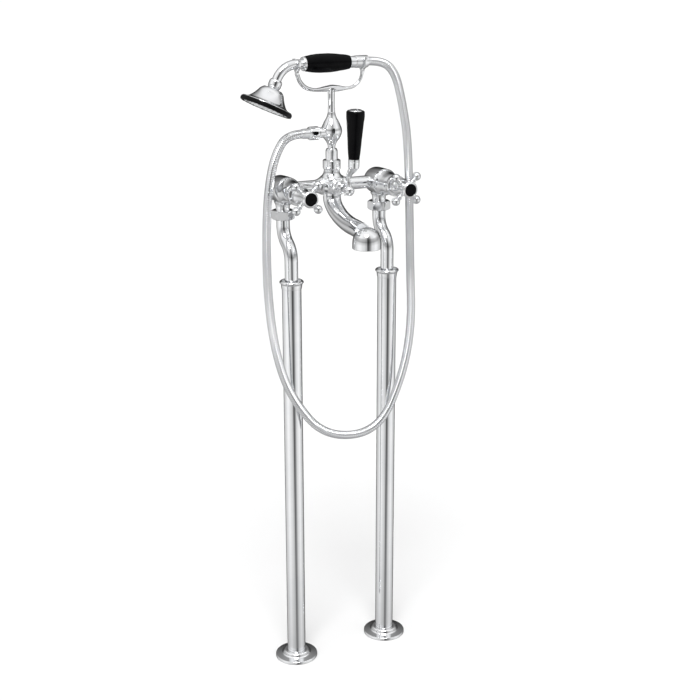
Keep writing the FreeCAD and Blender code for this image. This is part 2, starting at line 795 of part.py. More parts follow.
bell_hollow = turned("spout_hollow", [
    ("0", "0"),
    ("mouth_radius", "0"),
    ("mouth_radius", "mouth_depth"),
    ("mouth_radius - 3", "mouth_depth + 3"),
    ("mouth_radius - 6", "bell_height - 7"),
    ("0", "bell_height - 5"),
], mouth)
spout_metal = fuse("spout_metal", [doc.getObject("spout_outside"), bell])
node(cut("spout", spout_metal, [doc.getObject("spout_inside"), bell_hollow]), "spout")

disc = rod("aerator_disc", "mouth_radius - seat_gap", "aerator_thick",
           ("0", "mixer_back - spout_reach", spout_outlet + " + mouth_depth - aerator_thick"))
jets = []
for count, circle in ((6, 7.0), (12, 14.0)):
    for number in range(count):
        turn = 2 * math.pi * number / count
        spot = ("%g" % (circle * math.cos(turn)),
                "mixer_back - spout_reach + %g" % (circle * math.sin(turn)),
                spout_outlet + " + mouth_depth - aerator_thick")
        jets.append(rod("jet_%d_%d" % (count, number), "1.5", "aerator_thick", spot))
node(cut("spout_aerator", disc, jets), "spout_aerator")

# Riser, vase and outlet.

collar = turned("socket_turned", [
    ("riser_radius + seat_gap", "0"),
    ("socket_ring - 0.6", "0"),
    ("socket_ring", "0.6"),
    ("socket_ring", "socket_length - 1.2"),
    ("socket_ring - 1.2", "socket_length", "1.3", "bulge"),
    ("riser_radius + seat_gap", "socket_length"),
], ("0", "mixer_back", shelf))
threads = []
grubs = []
for number, angle in enumerate((0, 180)):
    facing = Rotation(Vector(0, 0, 1), angle).multiply(FRONT)
    side = -1 if angle == 0 else 1
    centre = ("0", "mixer_back", shelf + " + 7.4")
    start = ("0", "mixer_back + %d*riser_radius + %g" % (side, side * 0.2), shelf + " + 7.4")
    threads.append(rod("grub_hole_%d" % number, "grub_radius + seat_gap", "20", centre, facing))
    grubs.append(rod("grub_%d" % number, "grub_radius", "socket_ring - riser_radius - 0.9",
                     start, facing))
node(cut("riser_socket", collar, threads), "riser_socket")
node(fuse("riser_grub_screws", grubs), "riser_grub_screws")

base = "mixer_height + pillar_rise - riser_sunk"
lift = "riser_length - pillar_rise + riser_sunk"
neck = lift + " + vase_gap"
node(turned("riser_stem", [
    ("water_bore - 0.5", "0"),
    ("riser_radius", "0"),
    ("riser_radius", lift + " - 3.4"),
    ("riser_radius - 1.3", lift),
    ("riser_neck", lift + " + 0.5"),
    ("riser_neck", neck),
    ("vase_spigot", neck),
    ("vase_spigot", neck + " + 6.7"),
    ("water_bore - 0.5", neck + " + 6.7"),
], ("0", "mixer_back", base)), "riser_stem")

vase = turned("vase_turned", [
    ("vase_spigot + seat_gap", "0"),
    ("riser_neck + 0.2", "0"),
    ("riser_neck + 0.2", "1.6"),
    ("vase_radius - 5.8", "10.8", "30", "hollow"),
    ("vase_radius - 0.8", "20.4", "22", "bulge"),
    ("vase_radius - 1.6", "32.6", "15", "bulge"),
    ("stem_radius + 4", "vase_length - 11.5", "90", "bulge"),
    ("stem_radius", "vase_length", "34", "hollow"),
    ("0", "vase_length"),
    ("0", "30"),
    ("water_bore", "30"),
    ("water_bore", "7"),
    ("vase_spigot + seat_gap", "7"),
], ("0", "mixer_back", vase_base))
side_port = rod("vase_port", "water_bore", "outlet_start",
                ("0", "mixer_back", outlet_height), LEFT)
side_seat = rod("vase_seat", "outlet_radius + seat_gap", "10",
                ("-1*outlet_start", "mixer_back", outlet_height), LEFT)
node(cut("riser_vase", vase, [side_port, side_seat]), "riser_vase")

node(turned("hose_outlet", [
    ("water_bore", "0"),
    ("outlet_radius", "0"),
    ("outlet_radius", "outlet_nut_start - outlet_start - 2.2"),
    ("outlet_radius + 1", "outlet_nut_start - outlet_start - 1.7"),
    ("outlet_radius + 1", "outlet_nut_start - outlet_start - 0.1"),
    ("thread_radius", "outlet_nut_start - outlet_start - 0.1"),
    ("thread_radius", "outlet_nut_start - outlet_start + 12.7"),
    ("water_bore", "outlet_nut_start - outlet_start + 12.7"),
], ("-1*outlet_start", "mixer_back", outlet_height), LEFT), "hose_outlet")

node(turned("hose_outlet_nut", [
    ("thread_radius + seat_gap", "0"),
    ("outlet_nut_radius - 1", "0"),
    ("outlet_nut_radius", "1.2", "1.3", "bulge"),
    ("outlet_nut_radius", "15"),
    ("outlet_nut_radius - 1.4", "16.6", "1.7", "bulge"),
    ("hose_radius + 1.2", "17.2"),
    ("hose_radius + 0.9", "outlet_nut_length - 0.6"),
    ("hose_radius + 0.3", "outlet_nut_length", "0.7", "bulge"),
    ("water_bore", "outlet_nut_length"),
    ("water_bore", "13"),
    ("thread_radius + seat_gap", "13"),
], ("-1*outlet_nut_start", "mixer_back", outlet_height), LEFT), "hose_outlet_nut")

# Cradle.

stem = turned("cradle_stem", [
    ("0", "0"),
    ("stem_radius", "0"),
    ("stem_radius - 0.5", "14"),
    ("stem_radius - 0.2", "handset_rise - bar_drop - 8"),
    ("stem_radius + 2.6", "handset_rise - bar_drop - 0.6", "9", "hollow"),
    ("0", "handset_rise - bar_drop"),
], ("0", "mixer_back", stem_base))

# The bar is a bent rod: how far out, how far above its lowest line, and how much thicker.
stretches = [
    ("-1*fork_left + 0.8", 24.6, 0.6),
    ("-1*fork_left + 5.2", 14.1, 0.6),
    ("-1*fork_left + 15", 4.2, 0.6),
    ("-30", -0.5, 0.0),
    ("-12", 0.3, 1.7),
    ("0", 1.0, 2.8),
    ("12", 0.3, 2.1),
    ("26", -0.2, -0.1),
    ("fork_right - 17.6", 1.8, -0.3),
    ("fork_right - 7.6", 8.2, -0.3),
    ("fork_right - 2.2", 16.4, -0.3),
    ("fork_right - 0.4", 24.6, 0.0),
]
low = value("handset_rise - bar_drop")
spots = [Vector(value(out), 0, low + rise) for out, rise, thicker in stretches]
line = Part.BSplineCurve()
line.interpolate(spots)
hoops = []
for spot, (out, rise, thicker) in zip(spots, stretches):
    along = Vector(*line.tangent(line.parameter(spot))[0])
    hoops.append(hoop(spot, along, Vector(0, 1, 0), value("bar_radius") + thicker))
bar = solid("cradle_bar", Part.makeLoft(hoops, True, False), ("0", "mixer_back", stem_base))

seats = (("left", "-1*fork_left", "neck_pipe"), ("right", "fork_right", "hose_nut_radius"))
forks = []
cradles = []
for label, centre, held in seats:
    wide = held + " + prong + loose_gap"
    seat = held + " + loose_gap"
    slant = "0.7071*" + held + " + 0.7071*prong + 0.7071*loose_gap"
    dip = "handset_rise - " + slant.replace("+", "-")
    foot_line = "handset_rise - " + held + " - prong - 6"
    forks.append(padded("fork_" + label, "YZ_Plane", [
        ("-1*fork_foot", foot_line),
        ("fork_foot", foot_line),
        ("fork_foot", foot_line + " + 1.5"),
        (slant, dip, "8", "hollow"),
        (wide, "handset_rise", wide + " + 0.01", "bulge"),
        (wide, "handset_rise + prong_rise"),
        (seat, "handset_rise + prong_rise"),
        (seat, "handset_rise"),
        ("-1*" + held + " - loose_gap", "handset_rise", seat + " + 0.01", "hollow"),
        ("-1*" + held + " - loose_gap", "handset_rise + prong_rise"),
        ("-1*" + held + " - prong - loose_gap", "handset_rise + prong_rise"),
        ("-1*" + held + " - prong - loose_gap", "handset_rise"),
        ("-" + slant.replace("+", "-"), dip, wide + " + 0.01", "bulge"),
        ("-1*fork_foot", foot_line + " + 1.5", "8", "hollow"),
    ], "fork_thick", (centre, "mixer_back", stem_base)))
    cradles.append(rod("cradle_seat_" + label, seat, "40",
                       (centre + " - 20", "mixer_back", handset_height), RIGHT))
whole = fuse("cradle_metal", [stem, bar] + forks)
node(cut("cradle", whole, cradles), "cradle")

# Handset.

grip_start = "-1*ferrule_start + front_ferrule_length"
node(turned("front_ferrule", [
    ("neck_pipe + seat_gap", "0"),
    ("front_ferrule_radius - 1.8", "0"),
    ("front_ferrule_radius", "2", "2.2", "bulge"),
    ("front_ferrule_radius", "front_ferrule_length - 1"),
    ("front_ferrule_radius - 0.4", "front_ferrule_length", "1.6", "bulge"),
    ("tube_radius + seat_gap", "front_ferrule_length"),
    ("tube_radius + seat_gap", "3"),
    ("neck_pipe + seat_gap", "3"),
], ("-1*ferrule_start", "mixer_back", handset_height), RIGHT), "front_ferrule")
node(turned("handset_grip", [
    ("tube_radius + seat_gap", "0"),
    ("grip_belly - 3.9", "0"),
    ("grip_belly - 3", "1.6", "2", "bulge"),
    ("grip_belly", "34", "150", "bulge"),
    ("grip_belly - 2", "grip_length - 17", "160", "bulge"),
    ("grip_end + 0.8", "grip_length - 1.8", "90", "bulge"),
    ("grip_end", "grip_length", "2.4", "bulge"),
    ("tube_radius + seat_gap", "grip_length"),
], (grip_start, "mixer_back", handset_height), RIGHT), "handset_grip")
rear = grip_start + " + grip_length"
node(turned("rear_ferrule", [
    ("tube_radius + seat_gap", "0"),
    ("rear_ferrule_radius", "0"),
    ("rear_ferrule_radius", "rear_ferrule_length - 0.8"),
    ("rear_ferrule_radius - 0.8", "rear_ferrule_length"),
    ("tube_radius + seat_gap", "rear_ferrule_length"),
], (rear, "mixer_back", handset_height), RIGHT), "rear_ferrule")
node(turned("handset_tube", [
    ("water_bore", "0"),
    ("tube_radius", "0"),
    ("tube_radius", "front_ferrule_length - 3.1 + grip_length + rear_ferrule_length"),
    ("water_bore", "front_ferrule_length - 3.1 + grip_length + rear_ferrule_length"),
], ("-1*ferrule_start + 3.1", "mixer_back", handset_height), RIGHT), "handset_tube")
tail_start = rear + " + rear_ferrule_length"
node(turned("handset_tail", [
    ("water_bore", "0"),
    ("thread_radius", "0"),
    ("thread_radius", "12.6"),
    ("water_bore", "12.6"),
], (tail_start, "mixer_back", handset_height), RIGHT), "handset_tail")
node(turned("hose_handset_nut", [
    ("thread_radius + seat_gap", "0"),
    ("hose_nut_radius - 0.8", "0"),
    ("hose_nut_radius", "0.8"),
    ("hose_nut_radius", "hose_nut_length - 1.6"),
    ("hose_nut_radius - 1.6", "hose_nut_length", "1.7", "bulge"),
    ("water_bore", "hose_nut_length"),
    ("water_bore", "12.9"),
    ("thread_radius + seat_gap", "12.9"),
], (tail_start + " + 0.1", "mixer_back", handset_height), RIGHT), "hose_handset_nut")

slope = math.radians(value("rose_tilt"))
down = Vector(-math.sin(slope), 0, -math.cos(slope))
corner = Vector(-value("neck_corner"), 0, 0)
line = path([
    Vector(-value("ferrule_start") + 3, 0, 0),
    corner,
    corner + down * value("knuckle_drop - knuckle_half"),
], [value("neck_bend")])
bent = swept(line, value("neck_pipe")).cut(swept(line, value("neck_bore")))
node(solid("handset_neck", bent, ("0", "mixer_back", handset_height)), "handset_neck")

tilted = Rotation(Vector(0, 1, 0), value("rose_tilt"))
knuckle = corner + down * value("knuckle_drop")
rose = corner + down * value("rose_drop")
spread = "rose_drop - knuckle_drop"


def hung(name, corners, spot):
    # A turned piece on the handset's tilted rose axis.
    at = ("%.4f" % spot.x, "mixer_back", handset_height + " - %.4f" % -spot.z)
    return turned(name, corners, at, tilted)


node(hung("rose_knuckle", [
    ("neck_bore", "-1*knuckle_half"),
    ("knuckle_radius - 2.4", "-1*knuckle_half"),
    ("knuckle_radius", "-2.4", "5", "bulge"),
    ("knuckle_radius", "2.4"),
    ("knuckle_radius - 2.4", "knuckle_half", "5", "bulge"),
    ("neck_bore", "knuckle_half"),
], knuckle), "rose_knuckle")
crown = spread + " - knuckle_half"
node(hung("rose_shell", [
    ("ring_bore + 1", "ring_high"),
    ("ring_radius - 1.6", "ring_high"),
    ("ring_radius - 2.4", "ring_high + 1", "1.2", "bulge"),
    ("31.8", "7", "20", "hollow"),
    ("21.4", "22", "60", "hollow"),
    ("15", "29.4", "16", "bulge"),
    ("knuckle_radius - 1.4", crown, "9", "hollow"),
    ("neck_bore", crown),
    ("neck_bore", "29"),
    ("13", "27.4"),
    ("19.2", "21"),
    ("30", "5.4"),
], rose), "rose_shell")
node(hung("rose_ring", [
    ("ring_bore", "-1*ring_low"),
    ("ring_radius - 2", "-1*ring_low"),
    ("ring_radius", "-1.4", "2.6", "bulge"),
    ("ring_radius", "1"),
    ("ring_radius - 2", "ring_high", "2.4", "bulge"),
    ("ring_bore", "ring_high"),
], rose), "rose_ring")
face = hung("spray_disc", [
    ("0", "-1*ring_low + 0.9"),
    ("ring_bore - seat_gap", "-1*ring_low + 0.5"),
    ("ring_bore - seat_gap", "ring_high"),
    ("ring_bore - 1.6", "ring_high"),
    ("ring_bore - 1.6", "0"),
    ("0", "0"),
], rose)
drills = []
for number in range(24):
    turn = 2 * math.pi * number / 24
    spot = Vector(value("nozzle_circle") * math.cos(turn), value("nozzle_circle") * math.sin(turn), -6)
    spot = tilted.multVec(spot) + rose
    at = ("%.4f" % spot.x, "mixer_back + %.4f" % spot.y, handset_height + " + %.4f" % spot.z)
    drills.append(rod("nozzle_%d" % number, "nozzle_radius", "12", at, tilted))
node(cut("spray_plate", face, drills), "spray_plate")

# Hose.

hose_start = value(tail_start + " + 0.1 + hose_nut_length")
hose_end = -value("outlet_nut_start + outlet_nut_length")
back = value("mixer_back")
grip_line = value(handset_height)
outlet_line = value(outlet_height)
hose_points = [Vector(*spot) for spot in (
    (hose_start, back, grip_line),
    (hose_start + 29, back, grip_line),
    (119, back - 1, grip_line - 21),
    (130.5, back - 3.5, grip_line - 66),
    (140, 20, 908),
    (136, 5.5, 797),
    (121, -25.5, 693),
    (122, -31.5, 599),
    (106, -30.5, 509),
    (58, -31.5, 413),
    (-45, -30.5, 420),
    (-108, -29.5, 502),
    (-137, -33.5, 586),
    (-145, -24.5, 686),
    (-134, -2, 800),
    (-122, 9, 862),
    (-104.5, back - 8.5, outlet_line - 26.5),
    (hose_end - 26.3, back, outlet_line),
    (hose_end, back, outlet_line),
)]
hose_radii = []
for i in range(1, len(hose_points) - 1):
    before = hose_points[i] - hose_points[i - 1]
    after = hose_points[i + 1] - hose_points[i]
    half = before.getAngle(after) / 2
    hose_radii.append(0.45 * min(before.Length, after.Length) / math.tan(half))
print("hose bend radii:", ", ".join("%.0f" % radius for radius in hose_radii))
hose_line = path(hose_points, hose_radii)

ribs = int(value("rib_count"))
plain = 2 * value("hose_radius")
pitch = (hose_line.Length - 2 * plain) / ribs
marks = [(0.0, value("hose_radius")), (plain - 1.0, value("hose_radius"))]
for number in range(ribs):
    begin = plain + number * pitch
    marks.append((begin, value("hose_root")))
    marks.append((begin + 0.28 * pitch, value("hose_radius")))
    marks.append((begin + 0.72 * pitch, value("hose_radius")))
    marks.append((begin + pitch - 0.001, value("hose_root")))
marks = [mark for i, mark in enumerate(marks) if i < 3 or (i - 2) % 4 != 3]
marks.append((hose_line.Length - plain, value("hose_root")))
marks.append((hose_line.Length - plain + 1.0, value("hose_radius")))
marks.append((hose_line.Length, value("hose_radius")))

lengths = [edge.Length for edge in hose_line.Edges]


def along_hose(distance):
    # The point and direction at one distance along the hose's line.
    left = distance
    for edge, length in zip(hose_line.Edges, lengths):
        if left <= length or edge is hose_line.Edges[-1]:
            break
        left -= length
    ends = [vertex.Point for vertex in edge.Vertexes]
    spot = edge.getParameterByLength(min(left, length))
    return edge.valueAt(spot), edge.tangentAt(spot)


hoops = []
across = Vector(0, 1, 0)
track = []
for distance, radius in marks:
    spot, along = along_hose(distance)
    across = (across - along * across.dot(along)).normalize()
    hoops.append(hoop(spot, along, across, radius))
    track.append((distance, spot))
ribbed = Part.makeLoft(hoops, True, True)
bore = swept(hose_line, value("water_bore"))
hose = ribbed.cut(bore)
node(solid("shower_hose", hose), "shower_hose")
section = math.pi * (value("hose_radius") ** 2 - value("water_bore") ** 2)
print("hose length %.0f, volume %.0f of %.0f" % (hose_line.Length, hose.Volume,
                                                section * hose_line.Length))
least = min((b - a).Length for i, (d, a) in enumerate(track) for e, b in track[i + 1:]
            if e - d > 6 * value("hose_radius"))
print("least gap of the hose to itself %.1f" % (least - 2 * value("hose_radius")))

# Check and write.

doc.recompute()
faults = [item.Name for item in doc.Objects
          if "Invalid" in item.State or "Error" in item.State]
print("faults:", faults)
count = 0
for item in nodes:
    shape = item.Shape
    good = not shape.isNull() and shape.isValid() and shape.Volume > 0
    if not good:
        raise SystemExit("bad shape: " + item.Label)
    item.Shape.exportStep("parts/%s.step" % item.Label)
    count += 1
    box = shape.BoundBox
    print("%-20s %8.0f mm3  %2d solid(s)  X %7.1f %7.1f  Y %7.1f %7.1f  Z %7.1f %7.1f" % (
        item.Label, shape.Volume, len(shape.Solids), box.XMin, box.XMax, box.YMin, box.YMax,
        box.ZMin, box.ZMax))
if faults:
    raise SystemExit("faults in the document")
print("nodes written:", count)
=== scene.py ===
import math

import bpy
from mathutils import Matrix, Vector


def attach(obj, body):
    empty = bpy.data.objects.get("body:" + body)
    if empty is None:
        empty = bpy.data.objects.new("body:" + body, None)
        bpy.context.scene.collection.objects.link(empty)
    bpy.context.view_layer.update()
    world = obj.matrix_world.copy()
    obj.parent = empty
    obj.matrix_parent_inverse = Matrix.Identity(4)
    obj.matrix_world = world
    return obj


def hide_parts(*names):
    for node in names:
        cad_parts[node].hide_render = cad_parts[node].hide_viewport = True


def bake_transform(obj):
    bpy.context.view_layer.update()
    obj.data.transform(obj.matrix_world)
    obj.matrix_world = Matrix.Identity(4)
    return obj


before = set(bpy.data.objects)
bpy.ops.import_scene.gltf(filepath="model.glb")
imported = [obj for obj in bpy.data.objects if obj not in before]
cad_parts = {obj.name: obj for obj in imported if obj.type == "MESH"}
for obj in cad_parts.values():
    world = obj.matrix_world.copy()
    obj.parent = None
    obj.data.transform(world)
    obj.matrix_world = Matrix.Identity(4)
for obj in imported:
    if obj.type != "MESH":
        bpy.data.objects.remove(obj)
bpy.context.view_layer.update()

mm = 0.001  # all sizes are in millimetres, unless a note says otherwise
mixerBack = 29.5  # the mixer's middle line stands this far behind the legs
mixerHeight = 840.5
gripHeight = 1039.2
handleReach = 91  # from the mixer's middle line forward to the middle of a cross handle
spoutReach = 122.7
roseSlope = 25  # degrees that the rose hangs off the level
leverLean = 4.2
scene = bpy.context.scene
scene.view_settings.view_transform = "Standard"

photoView = {
    "lens": 66.22,
    "place": (-0.9658, -1.8624, 1.2125),  # metres
    "down": 17.2427,  # degrees below the level
    "turn": -27.8627,
}
eye = bpy.data.cameras.new("photoCamera")
eye.lens = photoView["lens"]
eye.sensor_width = 36
camera = bpy.data.objects.new("photoCamera", eye)
camera.location = photoView["place"]
camera.rotation_euler = (math.radians(90 - photoView["down"]), 0, math.radians(photoView["turn"]))
scene.collection.objects.link(camera)
scene.camera = camera
print("camera placed")


def newFinish(name):
    finish = bpy.data.materials.new(name)
    finish.use_nodes = True
    tree = finish.node_tree
    shader = tree.nodes["Principled BSDF"]
    place = tree.nodes.new("ShaderNodeTexCoord").outputs["Object"]
    return finish, tree, shader, place


def grain(tree, place, scale, detail=3.0):
    noise = tree.nodes.new("ShaderNodeTexNoise")
    noise.inputs["Scale"].default_value = scale
    noise.inputs["Detail"].default_value = detail
    tree.links.new(place, noise.inputs["Vector"])
    return noise.outputs["Fac"]


def spread(tree, source, low, high):
    # Turns a 0 to 1 pattern into a value between low and high.
    span = tree.nodes.new("ShaderNodeMapRange")
    span.inputs["To Min"].default_value = low
    span.inputs["To Max"].default_value = high
    tree.links.new(source, span.inputs["Value"])
    return span.outputs["Result"]


def blendColours(tree, source, low, high):
    ramp = tree.nodes.new("ShaderNodeValToRGB")
    ramp.color_ramp.elements[0].color = (*low, 1)
    ramp.color_ramp.elements[1].color = (*high, 1)
    ramp.color_ramp.elements[0].position = 0.3
    ramp.color_ramp.elements[1].position = 0.7
    tree.links.new(source, ramp.inputs["Fac"])
    return ramp.outputs["Color"]


def relief(tree, shader, source, strength, distance):
    bump = tree.nodes.new("ShaderNodeBump")
    bump.inputs["Strength"].default_value = strength
    bump.inputs["Distance"].default_value = distance
    tree.links.new(source, bump.inputs["Height"])
    tree.links.new(bump.outputs["Normal"], shader.inputs["Normal"])


def metal(name, low, high, roughLow, roughHigh):
    finish, tree, shader, place = newFinish(name)
    shader.inputs["Metallic"].default_value = 1.0
    cloudy = grain(tree, place, 35, 2)
    fine = grain(tree, place, 900, 2)
    tree.links.new(blendColours(tree, cloudy, low, high), shader.inputs["Base Color"])
    tree.links.new(spread(tree, fine, roughLow, roughHigh), shader.inputs["Roughness"])
    relief(tree, shader, grain(tree, place, 60, 1), 0.02, 0.0004)  # the faint ripple of polishing
    return finish


def smooth(name, low, high, roughLow, roughHigh, shine=0.5, bumpSize=0.0):
    finish, tree, shader, place = newFinish(name)
    cloudy = grain(tree, place, 60, 3)
    fine = grain(tree, place, 700, 3)
    tree.links.new(blendColours(tree, cloudy, low, high), shader.inputs["Base Color"])
    tree.links.new(spread(tree, fine, roughLow, roughHigh), shader.inputs["Roughness"])
    shader.inputs["Specular IOR Level"].default_value = shine
    if bumpSize:
        relief(tree, shader, fine, 0.25, bumpSize)
    return finish


finishes = {
    "chrome": metal("polishedChrome", (0.86, 0.87, 0.885), (0.90, 0.905, 0.915), 0.035, 0.07),
    "hoseChrome": metal("hoseChrome", (0.84, 0.85, 0.87), (0.91, 0.915, 0.925), 0.04, 0.08),
    "brass": metal("machinedBrass", (0.66, 0.47, 0.20), (0.75, 0.56, 0.27), 0.2, 0.34),
    "black": smooth("blackGlaze", (0.0012, 0.0012, 0.0016), (0.003, 0.003, 0.0035), 0.06, 0.12, shine=0.07),
    "rubber": smooth("blackRubber", (0.002, 0.002, 0.002), (0.005, 0.005, 0.0055), 0.3, 0.42,
                     shine=0.12, bumpSize=0.00005),
    "plate": smooth("paleSprayPlate", (0.76, 0.77, 0.78), (0.82, 0.83, 0.84), 0.25, 0.36,
                    bumpSize=0.00003),
    "nozzle": smooth("darkNozzle", (0.03, 0.03, 0.032), (0.05, 0.05, 0.052), 0.45, 0.6,
                     bumpSize=0.00003),
    "nylon": smooth("whiteNylon", (0.72, 0.71, 0.68), (0.80, 0.79, 0.76), 0.4, 0.55,
                    bumpSize=0.00003),
    "fibre": smooth("redFibre", (0.20, 0.07, 0.05), (0.28, 0.10, 0.07), 0.6, 0.8, bumpSize=0.00006),
}
print("finishes made:", len(finishes))

aims = {
    "up": Matrix.Identity(4),
    "front": Matrix.Rotation(math.radians(90), 4, "X"),
    "left": Matrix.Rotation(math.radians(-90), 4, "Y"),
    "right": Matrix.Rotation(math.radians(90), 4, "Y"),
    "rose": Matrix.Rotation(math.radians(roseSlope), 4, "Y"),
    "lever": Matrix.Rotation(math.radians(leverLean), 4, "X"),
}


def arcPoints(start, end, radius, steps=10):
    # Points of an arc between two corners. A negative radius is hollow, for an outline drawn anticlockwise.
    chord = end - start
    height = math.sqrt(max(radius * radius - chord.length_squared / 4, 0))
    side = Vector((-chord.y, chord.x)).normalized() * (height if radius > 0 else -height)
    centre = (start + end) / 2 + side
    first = start - centre
    turn = 2 * math.asin(min(chord.length / 2 / abs(radius), 1)) * (1 if radius > 0 else -1)
    points = []
    for step in range(1, steps):
        angle = turn * step / steps
        points.append(centre + Vector((first.x * math.cos(angle) - first.y * math.sin(angle),
                                       first.x * math.sin(angle) + first.y * math.cos(angle))))
    return points


def outline(corners, rounding):
    # Corners are (radius, height) or (radius, height, arc radius). Sharp corners get a small round.
    rough = []
    for i, corner in enumerate(corners):
        here = Vector(corner[:2])
        if len(corner) > 2:
            rough += arcPoints(Vector(corners[i - 1][:2]), here, corner[2])
        rough.append(here)
    fine = []
    count = len(rough)
    for i, here in enumerate(rough):
        if here.x < 1e-6:
            fine.append(here)
            continue
        before = rough[i - 1] - here
        after = rough[(i + 1) % count] - here
        if before.length < 1e-6 or after.length < 1e-6:
            continue
        bend = math.pi - before.angle(after)
        if bend < math.radians(18):
            fine.append(here)
            continue
        reach = min(rounding * math.tan(bend / 2), before.length * 0.4, after.length * 0.4)
        enter = here + before.normalized() * reach
        leave = here + after.normalized() * reach
        for step in range(5):
            t = step / 4
            fine.append(enter * (1 - t) ** 2 + here * 2 * t * (1 - t) + leave * t * t)
    return fine


def addMesh(name, points, faces, finish):
    mesh = bpy.data.meshes.new(name)
    mesh.from_pydata([tuple(p) for p in points], [], faces)
    mesh.validate()
    mesh.update()
    mesh.polygons.foreach_set("use_smooth", [True] * len(mesh.polygons))
    mesh.set_sharp_from_angle(angle=math.radians(38))
    mesh.materials.append(finishes[finish])
    item = bpy.data.objects.new(name, mesh)
    scene.collection.objects.link(item)
    return item


def latheParts(corners, steps, turn, at, rounding=0.4):
    # Points and faces of a shape turned about its own axis.
    profile = outline(corners, rounding)
    points = []
    rings = []
    for spot in profile:
        if spot.x < 1e-6:
            rings.append([len(points)])
            points.append(turn @ Vector((0, 0, spot.y)) + at)
            continue
        rings.append(list(range(len(points), len(points) + steps)))
        for step in range(steps):
            angle = 2 * math.pi * step / steps
            local = Vector((spot.x * math.cos(angle), spot.x * math.sin(angle), spot.y))
            points.append(turn @ local + at)
    faces = []
    for i, low in enumerate(rings):
        high = rings[(i + 1) % len(rings)]
        if len(low) == 1 and len(high) == 1:
            continue
        for step in range(steps):
            after = (step + 1) % steps
            if len(low) == 1:
                faces.append((low[0], high[after], high[step]))
            elif len(high) == 1:
                faces.append((low[step], low[after], high[0]))
            else:
                faces.append((low[step], low[after], high[after], high[step]))
    return points, faces


def merge(parts):
    points, faces = [], []
    for morePoints, moreFaces in parts:
        start = len(points)
        points += morePoints
        faces += [tuple(start + i for i in face) for face in moreFaces]
    return points, faces


def finishPiece(piece, parts):
    # Joins the parts into one mesh, hides the solid it stands for and sets what it moves with.
    points, faces = merge(parts)
    item = addMesh(piece["name"], [p * mm for p in points], faces, piece["finish"])
    if "node" in piece:
        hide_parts(piece["node"])
    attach(item, piece["body"])


def turnedPiece(piece):
    # One piece made of one or more turned shapes, each with its own aim, place and steps where given.
    parts = []
    for shape in piece["shapes"]:
        turn = aims[shape.get("aim", piece.get("aim", "up"))]
        at = Vector(shape.get("at", piece["at"]))
        steps = shape.get("steps", piece.get("steps", 72))
        parts.append(latheParts(shape["corners"], steps, turn, at, shape.get("rounding", 0.4)))
    finishPiece(piece, parts)


def frames(path):
    # A side and an up direction for each point of a path, without twist.
    found = []
    side = None
    for i in range(len(path)):
        before = path[max(i - 1, 0)]
        after = path[min(i + 1, len(path) - 1)]
        along = (after - before).normalized()
        if side is None:
            side = Vector((1, 0, 0)) if abs(along.x) < 0.8 else Vector((0, 1, 0))
        side = (side - along * side.dot(along)).normalized()
        found.append((side, along.cross(side)))
    return found


def sweepParts(path, section):
    # Carries a section along a line of points and closes both ends. The section is a function of the
    # place along the line, from 0 to 1, and gives (side, up) pairs.
    points, faces = [], []
    rings = []
    for i, (here, (side, up)) in enumerate(zip(path, frames(path))):
        ring = []
        for a, b in section(i / (len(path) - 1)):
            ring.append(len(points))
            points.append(here + side * a + up * b)
        rings.append(ring)
    for low, high in zip(rings, rings[1:]):
        count = len(low)
        for step in range(count):
            after = (step + 1) % count
            faces.append((low[step], low[after], high[after], high[step]))
    faces.append(tuple(reversed(rings[0])))
    faces.append(tuple(rings[-1]))
    return points, faces


def circleSection(radiusAt, steps):
    def section(t):
        radius = radiusAt(t)
        return [(radius * math.cos(2 * math.pi * k / steps), radius * math.sin(2 * math.pi * k / steps))
                for k in range(steps)]
    return section


def bentPath(corners, radii, step=1.5):
    # Straight runs joined by tangent arcs.
    points = [Vector(corners[0])]
    for i in range(1, len(corners) - 1):
        here = Vector(corners[i])
        back = (Vector(corners[i - 1]) - here).normalized()
        ahead = (Vector(corners[i + 1]) - here).normalized()
        half = back.angle(ahead) / 2
        radius = radii[i - 1]
        reach = radius / math.tan(half)
        inward = (back + ahead).normalized()
        centre = here + inward * (radius / math.sin(half))
        first = here + back * reach - centre
        last = here + ahead * reach - centre
        count = max(int(first.angle(last) * radius / step), 6)
        for k in range(count + 1):
            angle = first.angle(last) * k / count
            normal = first.cross(last).normalized()
            points.append(centre + Matrix.Rotation(angle, 3, normal) @ first)
    points.append(Vector(corners[-1]))
    return points


def curvePath(corners, steps):
    # A smooth line through the corners.
    spots = [Vector(c) for c in corners]
    spots = [spots[0] * 2 - spots[1]] + spots + [spots[-1] * 2 - spots[-2]]
    points = []
    for i in range(1, len(spots) - 2):
        a, b, c, d = spots[i - 1:i + 3]
        for k in range(steps):
            t = k / steps
            points.append(0.5 * ((2 * b) + (c - a) * t + (2 * a - 5 * b + 4 * c - d) * t * t
                                 + (3 * b - a - 3 * c + d) * t ** 3))
    points.append(spots[-2])
    return points


def rodParts(spots):
    # A round rod through spots of (x, y, z, radius).
    line = curvePath(spots, 10)
    radii = [p.w for p in line]
    last = len(line) - 1
    return sweepParts([p.xyz for p in line], circleSection(lambda t: radii[round(t * last)], 40))


def lookUp(table, t):
    # A smooth value from a short table of (place, value).
    for (a, low), (b, high) in zip(table, table[1:]):
        if t <= b:
            part = (t - a) / (b - a)
            part = part * part * (3 - 2 * part)
            return low + (high - low) * part
    return table[-1][1]


